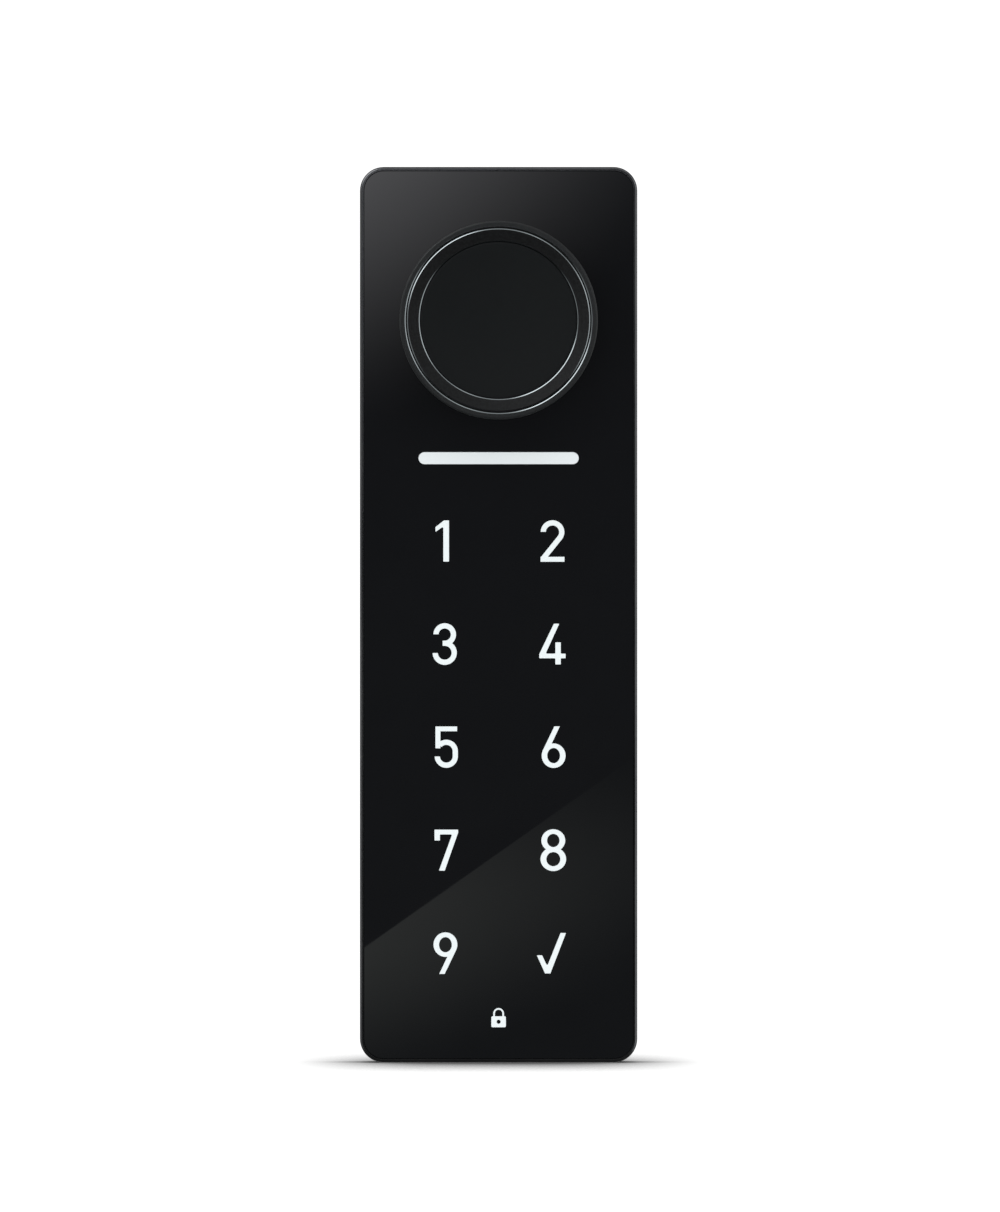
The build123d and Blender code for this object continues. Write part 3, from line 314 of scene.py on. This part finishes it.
print("housing done")

# %% [markdown]
# ## Knob
# The knob's shell is powder coated in a fine-texture black: the powder flows into bumps about 0.3 mm
# wide, drawn somewhat wider to show, that break the light into a soft sparkle. After coating, a lathe
# cuts the narrow chamfers on both sides of the face groove and round the cap. They show bare metal
# under a dark anodised skin, while the groove between them stays coated, and the ring outside it is
# rubbed down to a satin. One material holds all of it: the distance from the knob's axis picks the
# finish, as the lathe did, so the lines stay put when the knob turns.

# %% Fine-texture powder coat with turned edges
POWDER_MM = 0.3
POWDER_DRAWN_WIDER = 1.6
POWDER_RELIEF_MM = 0.05
KNOB_REACH_MM = 30
CAP_EDGE_MM = 20.12
GROOVE_INNER_MM = (22.78, 23.04)
GROOVE_OUTER_MM = (23.41, 23.67)
KNOB_EDGE_MM = 24.98
CUT_DEPTH_MM = 37.1
COAT_ROUGHNESS = 0.5
CUT_ROUGHNESS = 0.16
METAL_ABOVE = 0.75

powder, tree = new_material("fine_texture_black_powder_coat")
place = add(tree, "ShaderNodeTexCoord")
bumps = add(
    tree,
    "ShaderNodeTexNoise",
    values={"Scale": 1 / (POWDER_MM * POWDER_DRAWN_WIDER * MM), "Detail": 2.0, "Roughness": 0.5},
    links={"Vector": place.outputs["Object"]},
)
across = add(
    tree,
    "ShaderNodeVectorMath",
    settings={"operation": "MULTIPLY"},
    values={1: (1, 0, 1)},
    links={0: place.outputs["Object"]},
)
radius = add(
    tree,
    "ShaderNodeVectorMath",
    settings={"operation": "LENGTH"},
    links={0: across.outputs["Vector"]},
)
depth = add(tree, "ShaderNodeSeparateXYZ", links={"Vector": place.outputs["Object"]})
in_front = add(
    tree,
    "ShaderNodeMath",
    settings={"operation": "LESS_THAN"},
    values={1: -CUT_DEPTH_MM * MM},
    links={0: depth.outputs["Y"]},
)
reach = add(
    tree,
    "ShaderNodeMapRange",
    values={"From Min": 0.0, "From Max": KNOB_REACH_MM * MM},
    links={"Value": radius.outputs["Value"]},
)
COATED, CUT, SATIN = (0, 0, 0, 1), (1, 1, 1, 1), (0.06, 0.06, 0.06, 1)
zones = add(tree, "ShaderNodeValToRGB", links={"Fac": reach.outputs["Result"]})
zones.color_ramp.interpolation = "CONSTANT"
zones.color_ramp.elements[0].color = CUT
zones.color_ramp.elements[1].position = CAP_EDGE_MM / KNOB_REACH_MM
zones.color_ramp.elements[1].color = COATED
for edge_mm, zone in (
    (GROOVE_INNER_MM[0], CUT),
    (GROOVE_INNER_MM[1], COATED),
    (GROOVE_OUTER_MM[0], CUT),
    (GROOVE_OUTER_MM[1], SATIN),
    (KNOB_EDGE_MM, COATED),
):
    zones.color_ramp.elements.new(edge_mm / KNOB_REACH_MM).color = zone
finish = add(
    tree,
    "ShaderNodeMath",
    settings={"operation": "MULTIPLY"},
    links={0: zones.outputs["Color"], 1: in_front.outputs["Value"]},
)
coat = add(tree, "ShaderNodeValToRGB", links={"Fac": bumps.outputs["Fac"]})
coat.color_ramp.elements[0].position = 0.35
coat.color_ramp.elements[0].color = linear("#090a0b")
coat.color_ramp.elements[1].position = 0.7
coat.color_ramp.elements[1].color = linear("#131516")
colour = add(
    tree,
    "ShaderNodeMix",
    settings={"data_type": "RGBA"},
    values={7: linear("#64696b")},
    links={0: finish.outputs["Value"], 6: coat.outputs["Color"]},
)
polish = add(
    tree,
    "ShaderNodeMapRange",
    values={"To Min": COAT_ROUGHNESS, "To Max": CUT_ROUGHNESS},
    links={"Value": finish.outputs["Value"]},
)
metal = add(
    tree,
    "ShaderNodeMath",
    settings={"operation": "GREATER_THAN"},
    values={1: METAL_ABOVE},
    links={0: finish.outputs["Value"]},
)
relief_depth = add(
    tree,
    "ShaderNodeMapRange",
    values={"To Min": 0.7, "To Max": 0.0},
    links={"Value": finish.outputs["Value"]},
)
relief = add(
    tree,
    "ShaderNodeBump",
    values={"Distance": POWDER_RELIEF_MM * MM},
    links={"Height": bumps.outputs["Fac"], "Strength": relief_depth.outputs["Result"]},
)
shader = add(
    tree,
    "ShaderNodeBsdfPrincipled",
    values={"IOR": 1.5, "Specular IOR Level": 0.15},
    links={
        "Base Color": colour.outputs[2],
        "Roughness": polish.outputs["Result"],
        "Metallic": metal.outputs["Value"],
        "Normal": relief.outputs["Normal"],
    },
)
close_material(tree, shader)
dress(powder, "knob_body")

satin_cap = grained(
    "satin_black_polycarbonate", "#0a0d0e", "#0e1112", 0.25, (0.3, 0.38), 0.003, shine=0.14
)
dress(satin_cap, "knob_cap")
print("knob done")

# %% [markdown]
# ## Plated, sintered and turned metals
# The back plate and brackets are pressed steel with bright zinc plating, which has a directional
# roll grain. Screws are turned, so their grain is finer. Bushes are sintered bronze, with pores
# that show as specks, and the clutch pieces are sintered steel, darkened by steam.

# %% Steel, bronze and brass pieces
UP_THE_SHEET = (1, 1, 0.08)
UP_THE_STRIP = (1, 1, 0.1)

zinc_plate = grained(
    "zinc_plated_pressed_steel",
    "#a9acad",
    "#c3c6c6",
    0.5,
    (0.28, 0.42),
    0.006,
    1.0,
    stretch=UP_THE_SHEET,
)
zinc_screw = grained("zinc_plated_turned_steel", "#b4b7b8", "#cccfd0", 0.2, (0.22, 0.34), 0.003, 1.0)
black_screw = grained("black_oxide_steel", "#232324", "#303031", 0.25, (0.35, 0.5), 0.004, 1.0)
spring_wire = grained("nickel_plated_spring_wire", "#c2c0ba", "#d6d4ce", 0.3, (0.18, 0.28), 0.002, 1.0)
sintered_steel = grained("sintered_steel", "#5c5d5f", "#77797b", 0.25, (0.4, 0.55), 0.012, 1.0)
sintered_bronze = grained("sintered_bronze", "#8a6a3e", "#a9854f", 0.25, (0.38, 0.52), 0.012, 1.0)
turned_brass = grained("hobbed_brass", "#b8963f", "#d0b055", 0.2, (0.2, 0.32), 0.003, 1.0)
contact_strip = grained(
    "nickel_flashed_phosphor_bronze",
    "#b9a88b",
    "#cdbd9f",
    0.4,
    (0.25, 0.36),
    0.003,
    1.0,
    stretch=UP_THE_STRIP,
)
dress(zinc_plate, "back_plate", "motor_bracket", "spindle")
dress(zinc_screw, "back_plate_screws", "fixing_posts", "board_screws", "fork_guide_pin")
dress(black_screw, "hatch_screws", "knob_screw", "spindle_grub_screw")
dress(sintered_steel, "knob_shaft", "clutch_collar", "spindle_hub")
dress(sintered_bronze, "knob_bush", "spindle_bush")
dress(turned_brass, "motor_pinion", "motor_gearbox")
dress(contact_strip, "battery_contacts", "battery_terminals")
print("metals done")

# %% [markdown]
# ## Rubber, foam, nylon and plastic pieces
# The gasket and seals are EPDM, dull and slightly grey with bloom. The battery bay, its cassette and
# the hatch are ABS from a spark-eroded tool, whose texture is about 0.2 mm wide. The fork is acetal,
# and the connector nylon, both left in their natural colour.

# %% Rubber and plastics
rubber = grained("moulded_epdm_rubber", "#151515", "#1e1e1e", 0.6, (0.6, 0.75), 0.01, ior=1.5)
foam_tape = grained("acrylic_foam_tape", "#161616", "#222222", 0.3, (0.7, 0.85), 0.02, ior=1.45)
black_abs = grained("spark_textured_black_abs", "#1b1b1c", "#262627", 0.22, (0.45, 0.58), 0.015, ior=1.54)
acetal = grained("natural_acetal", "#dcdad2", "#e8e6df", 0.5, (0.3, 0.42), 0.003, ior=1.48)
nylon = grained("natural_nylon", "#d8d3c4", "#e4dfd1", 0.4, (0.35, 0.48), 0.004, ior=1.53)
slip_sheet = grained("ptfe_sheet", "#dfdfdc", "#ececea", 0.5, (0.4, 0.5), 0.003, ior=1.38)
chip_epoxy = grained("moulded_chip_epoxy", "#141415", "#1f1f20", 0.12, (0.5, 0.62), 0.006, ior=1.55)
lead_sleeve = grained("pvc_lead_sleeve", "#7d1512", "#93201b", 1.2, (0.38, 0.5), 0.004, ior=1.53)
dress(rubber, "door_gasket", "knob_seal", "hatch_seal")
dress(foam_tape, "panel_tape")
dress(black_abs, "battery_bay", "battery_tray", "battery_hatch")
dress(acetal, "shift_fork")
dress(nylon, "motor_connector")
dress(slip_sheet, "thrust_washer")
dress(chip_epoxy, "board_chips", "buzzer")
dress(lead_sleeve, "motor_lead")
print("plastics done")

# %% [markdown]
# ## Circuit board, sensor film and light guide
# The board is glass epoxy under a green solder mask. Copper tracks show through the mask as paler
# green lines on a grid of about 1.27 mm. The sensor film is amber polyimide with printed pads on the
# keys' pitch, and the light guide is clear acrylic with rows of moulded dots that let light out.

# %% Board, film and guide
TRACK_PITCH_MM = 1.27
PAD_PITCH_MM = 26.0
DOT_PITCH_MM = 1.5
STAIN_MM = 9
PRINT_STEP_MM = 0.03


def ruled(name, field, line, pitch_mm, width, roughness, ior):
    """A sheet with a printed square pattern: field colour, line colour and pitch."""
    material, tree = new_material(name)
    place = add(tree, "ShaderNodeTexCoord")
    flat = add(
        tree,
        "ShaderNodeMapping",
        values={"Scale": (1, 0, 1)},
        links={"Vector": place.outputs["Object"]},
    )
    cells = add(
        tree,
        "ShaderNodeTexVoronoi",
        settings={"feature": "F1", "distance": "CHEBYCHEV"},
        values={"Scale": 1 / (pitch_mm * MM), "Randomness": 0.35},
        links={"Vector": flat.outputs["Vector"]},
    )
    stain = add(
        tree,
        "ShaderNodeTexNoise",
        values={"Scale": 1 / (STAIN_MM * MM), "Detail": 3.0},
        links={"Vector": place.outputs["Object"]},
    )
    edge = add(tree, "ShaderNodeValToRGB", links={"Fac": cells.outputs["Distance"]})
    edge.color_ramp.interpolation = "CONSTANT"
    edge.color_ramp.elements[0].color = linear(field)
    edge.color_ramp.elements[1].position = 1 - width
    edge.color_ramp.elements[1].color = linear(line)
    sheen = add(
        tree,
        "ShaderNodeMapRange",
        values={"To Min": roughness[0], "To Max": roughness[1]},
        links={"Value": stain.outputs["Fac"]},
    )
    relief = add(
        tree,
        "ShaderNodeBump",
        values={"Strength": 0.5, "Distance": PRINT_STEP_MM * MM},
        links={"Height": cells.outputs["Distance"]},
    )
    shader = add(
        tree,
        "ShaderNodeBsdfPrincipled",
        values={"IOR": ior},
        links={
            "Base Color": edge.outputs["Color"],
            "Roughness": sheen.outputs["Result"],
            "Normal": relief.outputs["Normal"],
        },
    )
    close_material(tree, shader)
    return material


board_mask = ruled("green_solder_mask", "#0e3b26", "#1f5c3a", TRACK_PITCH_MM, 0.55, (0.25, 0.4), 1.5)
sensor_film = ruled("polyimide_sensor_film", "#8a4f1a", "#b5752f", PAD_PITCH_MM, 0.6, (0.3, 0.4), 1.6)
guide_acrylic = ruled("clear_moulded_acrylic", "#dfe6e8", "#f2f6f7", DOT_PITCH_MM, 0.7, (0.1, 0.2), 1.49)
led_body = grained("white_led_package", "#e9e3c4", "#f4efd6", 0.3, (0.3, 0.4), 0.002, ior=1.53)
shield_can = grained("tin_plated_shield_can", "#b9bbbb", "#cfd1d1", 0.5, (0.22, 0.34), 0.004, 1.0)
can_aluminium = grained("extruded_aluminium_can", "#9fa2a4", "#b7babc", 0.4, (0.3, 0.42), 0.003, 1.0)
motor_case = grained("nickel_plated_motor_case", "#aeb0b2", "#c6c8c9", 0.35, (0.2, 0.32), 0.003, 1.0)
dress(board_mask, "main_board")
dress(sensor_film, "touch_film")
dress(guide_acrylic, "light_guide")
dress(led_body, "board_leds")
dress(shield_can, "radio_module")
dress(can_aluminium, "storage_capacitor")
dress(motor_case, "motor_can")
print("electronics done")

# %% [markdown]
# ## Battery cells
# A cell is a steel can in a printed plastic jacket. The print is generic: a dark blue body with a
# copper band at the positive end, and the bare steel ends show past the print. The band follows the
# height inside the cell's own length, so the cells that stand the other way up have it at the bottom.

# %% Printed cell jackets
BAND_MM = 9.0
SCUFF_MM = 3
FLAT_END = 0.02
NUB_END = 0.04


def cell_jacket(name, low, high, band_at_top):
    """A printed jacket with a copper band at one end and bare steel at both faces."""
    material, tree = new_material(name)
    place = add(tree, "ShaderNodeTexCoord")
    axes = add(tree, "ShaderNodeSeparateXYZ", links={"Vector": place.outputs["Object"]})
    along = add(
        tree,
        "ShaderNodeMapRange",
        values={"From Min": low, "From Max": high},
        links={"Value": axes.outputs["Z"]},
    )
    band_share = BAND_MM * MM / (high - low)
    print_line = 1 - band_share if band_at_top else band_share
    ramp = add(tree, "ShaderNodeValToRGB", links={"Fac": along.outputs["Result"]})
    ramp.color_ramp.interpolation = "CONSTANT"
    body, band, steel = linear("#1d3557"), linear("#b87333"), linear("#c9cacb")
    stops = (
        [(0.0, steel), (FLAT_END, body), (print_line, band), (1 - NUB_END, steel)]
        if band_at_top
        else [(0.0, steel), (NUB_END, band), (print_line, body), (1 - FLAT_END, steel)]
    )
    ramp.color_ramp.elements[0].color = stops[0][1]
    ramp.color_ramp.elements[1].position = stops[1][0]
    ramp.color_ramp.elements[1].color = stops[1][1]
    for position, colour in stops[2:]:
        ramp.color_ramp.elements.new(position).color = colour
    scuffs = add(
        tree,
        "ShaderNodeTexNoise",
        values={"Scale": 1 / (SCUFF_MM * MM), "Detail": 4.0},
        links={"Vector": place.outputs["Object"]},
    )
    sheen = add(
        tree,
        "ShaderNodeMapRange",
        values={"To Min": 0.2, "To Max": 0.4},
        links={"Value": scuffs.outputs["Fac"]},
    )
    shader = add(
        tree,
        "ShaderNodeBsdfPrincipled",
        values={"Metallic": 0.7},
        links={"Base Color": ramp.outputs["Color"], "Roughness": sheen.outputs["Result"]},
    )
    close_material(tree, shader)
    return material


for number in range(1, 5):
    low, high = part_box(f"battery_cell_{number}")
    positive_up = number % 2 == 1
    jacket = cell_jacket(f"printed_cell_jacket_{number}", low.z, high.z, positive_up)
    dress(jacket, f"battery_cell_{number}")
print("cells done")

# %% [markdown]
# ## Battery springs
# Each cell's flat end presses a small conical spring wound from 0.5 mm wire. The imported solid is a
# simple stack of rings, which is right for its size but not for its looks, so a wound curve stands
# in for it. It has dead coils at both ends, as a real spring does, and a cone that gets narrower
# towards the cell.

# %% Wind the four springs
WIRE_MM = 0.5
COILS = 4.0
WIDE_MM = 3.4
NARROW_MM = 2.0
STEPS_PER_COIL = 24
SPRING_ROOM_MM = 2.5
DEAD_COIL = 0.18


def coil_height(share):
    """Height share along a spring whose end coils lie flat."""
    return min(max((share - DEAD_COIL) / (1 - 2 * DEAD_COIL), 0.0), 1.0)


spring_low, spring_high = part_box("battery_springs")
coil_curve = bpy.data.curves.new("battery_spring_coils", "CURVE")
coil_curve.dimensions = "3D"
coil_curve.bevel_depth = WIRE_MM * MM / 2
coil_curve.bevel_resolution = 3
coil_curve.use_fill_caps = True
rise = (SPRING_ROOM_MM - WIRE_MM) * MM
count = int(COILS * STEPS_PER_COIL)
for number in range(1, 5):
    low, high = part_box(f"battery_cell_{number}")
    axis_x, axis_y = (low.x + high.x) / 2, (low.y + high.y) / 2
    at_bottom = number % 2 == 1
    base = spring_low.z if at_bottom else spring_high.z
    direction = 1 if at_bottom else -1
    spline = coil_curve.splines.new("POLY")
    spline.points.add(count)
    for step in range(count + 1):
        share = step / count
        angle = share * COILS * 2 * math.pi
        radius = (WIDE_MM + (NARROW_MM - WIDE_MM) * share) * MM
        height = base + direction * (WIRE_MM * MM / 2 + rise * coil_height(share))
        spline.points[step].co = (
            axis_x + radius * math.cos(angle),
            axis_y + radius * math.sin(angle),
            height,
            1.0,
        )
springs = bpy.data.objects.new("battery_spring_coils", coil_curve)
bpy.context.scene.collection.objects.link(springs)
coil_curve.materials.append(spring_wire)
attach(springs, "battery_cassette")
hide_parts("battery_springs")
print("springs wound:", len(coil_curve.splines))

# %% [markdown]
# ## Studio: floor
# The lock stands on a white paper sweep, lit so evenly that it reads as pure white and has no
# horizon. What is left of its shading is the soft contact shadow, and it is painted: the sheet is
# clear film over the white room, and its tint is a painted shadow worked out with ambient occlusion:
# the more of the room the lock hides from a point of the sheet, the darker that point, from wherever
# it is seen. A mask on the distance from the lock's middle fades the painted shadow out at both
# sides, which keeps it narrow. The cassette that draws out of the lock's foot shows through the film.
# Mirror-like surfaces don't see the sheet, as if a black flag lay there.

# %% Floor
scene = bpy.context.scene
scene.view_settings.view_transform = "Standard"
# Metres: half the sheet's width, and how far from a point of the sheet the lock still adds painted shade
# to it.
FLOOR_HALF = 12.0
SHADOW_REACH = 0.2
# The painted shadow's depth where the lock hides the whole room.
SHADOW_DENSITY = 6.0
# How far from the lock's middle the mask starts to fade the painted shadow out, and where it ends.
SHADOW_SIDES_MM = (16, 60)

floor_z = cad_low.z
floor_mesh = bpy.data.meshes.new("studio_floor")
floor_mesh.from_pydata(
    [(x * FLOOR_HALF, y * FLOOR_HALF, floor_z) for x, y in ((-1, -1), (1, -1), (1, 1), (-1, 1))],
    [],
    [(0, 1, 2, 3)],
)
floor = bpy.data.objects.new("studio_floor", floor_mesh)
scene.collection.objects.link(floor)
sheet, tree = new_material("film_with_painted_contact_shadow")
open_room = add(
    tree, "ShaderNodeAmbientOcclusion", settings={"samples": 16}, values={"Distance": SHADOW_REACH}
)
place = add(tree, "ShaderNodeTexCoord")
across = add(tree, "ShaderNodeSeparateXYZ", links={"Vector": place.outputs["Object"]})
# Minus the share of the room that the lock hides: its exponential is the film's clearness, which paints
# the contact shadow.
hidden = add(
    tree,
    "ShaderNodeMath",
    settings={"operation": "SUBTRACT"},
    values={1: 1.0},
    links={0: open_room.outputs["AO"]},
)
density = add(
    tree,
    "ShaderNodeMath",
    settings={"operation": "MULTIPLY"},
    values={1: SHADOW_DENSITY},
    links={0: hidden.outputs["Value"]},
)
sideways = add(
    tree,
    "ShaderNodeMath",
    settings={"operation": "ABSOLUTE"},
    links={0: across.outputs["X"]},
)
# A mask on the distance from the lock's middle: it fades the painted shadow out towards both sides.
painted_shadow_side_fade = add(
    tree,
    "ShaderNodeMapRange",
    settings={"interpolation_type": "SMOOTHSTEP"},
    values={
        "From Min": SHADOW_SIDES_MM[0] * MM,
        "From Max": SHADOW_SIDES_MM[1] * MM,
        "To Min": 1.0,
        "To Max": 0.0,
    },
    links={"Value": sideways.outputs["Value"]},
)
cast = add(
    tree,
    "ShaderNodeMath",
    settings={"operation": "MULTIPLY"},
    links={0: density.outputs["Value"], 1: painted_shadow_side_fade.outputs["Result"]},
)
shade = add(
    tree, "ShaderNodeMath", settings={"operation": "EXPONENT"}, links={0: cast.outputs["Value"]}
)
# The film's colour is the painted contact shadow.
film = add(tree, "ShaderNodeBsdfTransparent", links={"Color": shade.outputs["Value"]})
close_material(tree, film)
floor_mesh.materials.append(sheet)
floor.visible_glossy = False
floor.visible_diffuse = False
floor.visible_shadow = False
print("floor at", round(floor_z, 4))

# %% [markdown]
# ## Studio: the room
# Matt surfaces see an even white room. Mirror-like surfaces see black flags all round instead, and
# between them large softboxes: a strong one at the upper left that draws the bright edge lines,
# weaker ones above, at the upper right and at both sides, and a wide one behind. That is how a studio
# keeps black glass black before a white backdrop. Each softbox is a patch of the world, where the
# ray's direction is close to the softbox's.

# %% World
WHITE_ROOM = 1.13
FLAGGED = 0.05
# Each softbox: the way to it, the cosines where its glow starts and is full, and its strength.
SOFTBOXES = (
    ((-0.62, -0.45, 0.64), 0.84, 0.96, 6.0),
    ((0.0, -0.4, 0.9), 0.80, 0.97, 1.4),
    ((0.66, -0.4, 0.6), 0.80, 0.97, 1.2),
    ((0.92, -0.4, 0.0), 0.80, 0.97, 2.3),
    ((-0.92, -0.4, -0.05), 0.84, 0.97, 0.9),
    ((0.0, 1.0, 0.2), 0.10, 0.95, 0.8),
)

world = bpy.data.worlds.new("white_studio")
scene.world = world
world.use_nodes = True
tree = world.node_tree
tree.nodes.clear()
way = add(tree, "ShaderNodeTexCoord")
seen = None
for aim, edge, core, power in SOFTBOXES:
    closeness = add(
        tree,
        "ShaderNodeVectorMath",
        settings={"operation": "DOT_PRODUCT"},
        values={1: Vector(aim).normalized()},
        links={0: way.outputs["Generated"]},
    )
    patch = add(
        tree,
        "ShaderNodeMapRange",
        settings={"interpolation_type": "SMOOTHSTEP"},
        values={"From Min": edge, "From Max": core, "To Max": power},
        links={"Value": closeness.outputs["Value"]},
    )
    start = {0: seen.outputs["Value"]} if seen else {}
    seen = add(
        tree,
        "ShaderNodeMath",
        values={0: FLAGGED},
        links={1: patch.outputs["Result"], **start},
    )
rays = add(tree, "ShaderNodeLightPath")
white_room = add(
    tree, "ShaderNodeBackground", values={"Color": (1, 1, 1, 1), "Strength": WHITE_ROOM}
)
flagged_room = add(
    tree,
    "ShaderNodeBackground",
    values={"Color": (1, 1, 1, 1)},
    links={"Strength": seen.outputs["Value"]},
)
room = add(
    tree,
    "ShaderNodeMixShader",
    links={0: rays.outputs["Is Glossy Ray"], 1: white_room.outputs[0], 2: flagged_room.outputs[0]},
)
add(tree, "ShaderNodeOutputWorld", links={"Surface": room.outputs[0]})
print("softboxes:", len(SOFTBOXES))

# %% [markdown]
# ## Studio: reflectors in the glass
# Two cards stand in front of the lock, where only mirror-like surfaces see them. One is a soft-edged
# glow for the upper left of the glass. The other has a straight slanted edge, which draws the long
# diagonal across the lower keys, and fades towards its far corner. A card is placed by the spot of
# the glass that shows it: seen from the lens, a point of the glass and the card behind it in the
# mirror are in line, so one function works out the place on the card.

# %% Reflector cards
CARD_DISTANCE = 0.6
CAMERA_PLACE = Vector((0.00035, -8.0, -0.072))
glass_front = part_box("touch_panel")[0].y


def on_card(x_mm, z_mm):
    """The place on a card that the camera sees mirrored at a spot of the glass."""
    spread = 1 + (CARD_DISTANCE + glass_front) / (glass_front - CAMERA_PLACE.y)
    return (
        CAMERA_PLACE.x + (x_mm * MM - CAMERA_PLACE.x) * spread,
        CAMERA_PLACE.z + (z_mm * MM - CAMERA_PLACE.z) * spread,
    )


def reflector(name, corners, glows, tint):
    """A card whose soft glows are given as place, size and strength, all as seen in the glass."""
    mesh = bpy.data.meshes.new(name)
    places = [on_card(*corner) for corner in corners]
    mesh.from_pydata([(x, -CARD_DISTANCE, z) for x, z in places], [], [tuple(range(len(places)))])
    card = bpy.data.objects.new(name, mesh)
    scene.collection.objects.link(card)
    material, tree = new_material(name + "_cloth")
    place = add(tree, "ShaderNodeTexCoord")
    total = None
    for (x_mm, z_mm), (wide_mm, high_mm), turn, strength in glows:
        x, z = on_card(x_mm, z_mm)
        spot = add(
            tree,
            "ShaderNodeMapping",
            settings={"vector_type": "TEXTURE"},
            values={
                "Location": (x, -CARD_DISTANCE, z),
                "Rotation": (0, math.radians(turn), 0),
                "Scale": (wide_mm * MM, 1.0, high_mm * MM),
            },
            links={"Vector": place.outputs["Object"]},
        )
        fade = add(
            tree,
            "ShaderNodeTexGradient",
            settings={"gradient_type": "SPHERICAL"},
            links={"Vector": spot.outputs["Vector"]},
        )
        soft = add(
            tree,
            "ShaderNodeMapRange",
            settings={"interpolation_type": "SMOOTHSTEP"},
            values={"To Max": strength},
            links={"Value": fade.outputs["Fac"]},
        )
        before = {1: total.outputs["Value"]} if total else {}
        total = add(
            tree,
            "ShaderNodeMath",
            values={1: FLAGGED},
            links={0: soft.outputs["Result"], **before},
        )
    glow = add(
        tree,
        "ShaderNodeEmission",
        values={"Color": linear(tint)},
        links={"Strength": total.outputs["Value"]},
    )
    close_material(tree, glow)
    mesh.materials.append(material)
    card.visible_camera = False
    card.visible_diffuse = False
    card.visible_shadow = False
    card.visible_transmission = False
    return card


SOFT_CARD = [(-180, -70), (120, -70), (120, 180), (-180, 180)]
SOFT_GLOW = ((-84, 100), (163, 147), 0, 4.1)
SLANT_LEFT, SLANT_RIGHT, CARD_FOOT = (-60, -176.6), (60, -92.0), -260
SLANT_GLOW = ((-90, -165.5), (182, 48.6), -14, 0.58)
slanted = [SLANT_LEFT, SLANT_RIGHT, (SLANT_RIGHT[0], CARD_FOOT), (SLANT_LEFT[0], CARD_FOOT)]
reflector("soft_glow_card", SOFT_CARD, [SOFT_GLOW], "#fbfbff")
reflector("slanted_card", slanted, [SLANT_GLOW], "#fafff8")
print("reflectors done")

# %% [markdown]
# ## Camera
# A long lens from far away, level with the middle of the lock and square to the glass, shows no
# sides and no convergence. The framing leaves a band of white round the unit.

# %% Camera
FRAME_HEIGHT = 0.3058
SENSOR_MM = 36.0

lens = bpy.data.cameras.new("studio_camera")
lens.sensor_width = SENSOR_MM
lens.lens = SENSOR_MM * (glass_front - CAMERA_PLACE.y) / FRAME_HEIGHT
lens.clip_end = 60.0
camera = bpy.data.objects.new("studio_camera", lens)
camera.location = CAMERA_PLACE
camera.rotation_euler = (math.pi / 2, 0, 0)
scene.collection.objects.link(camera)
scene.camera = camera
print("lens:", round(lens.lens), "mm")
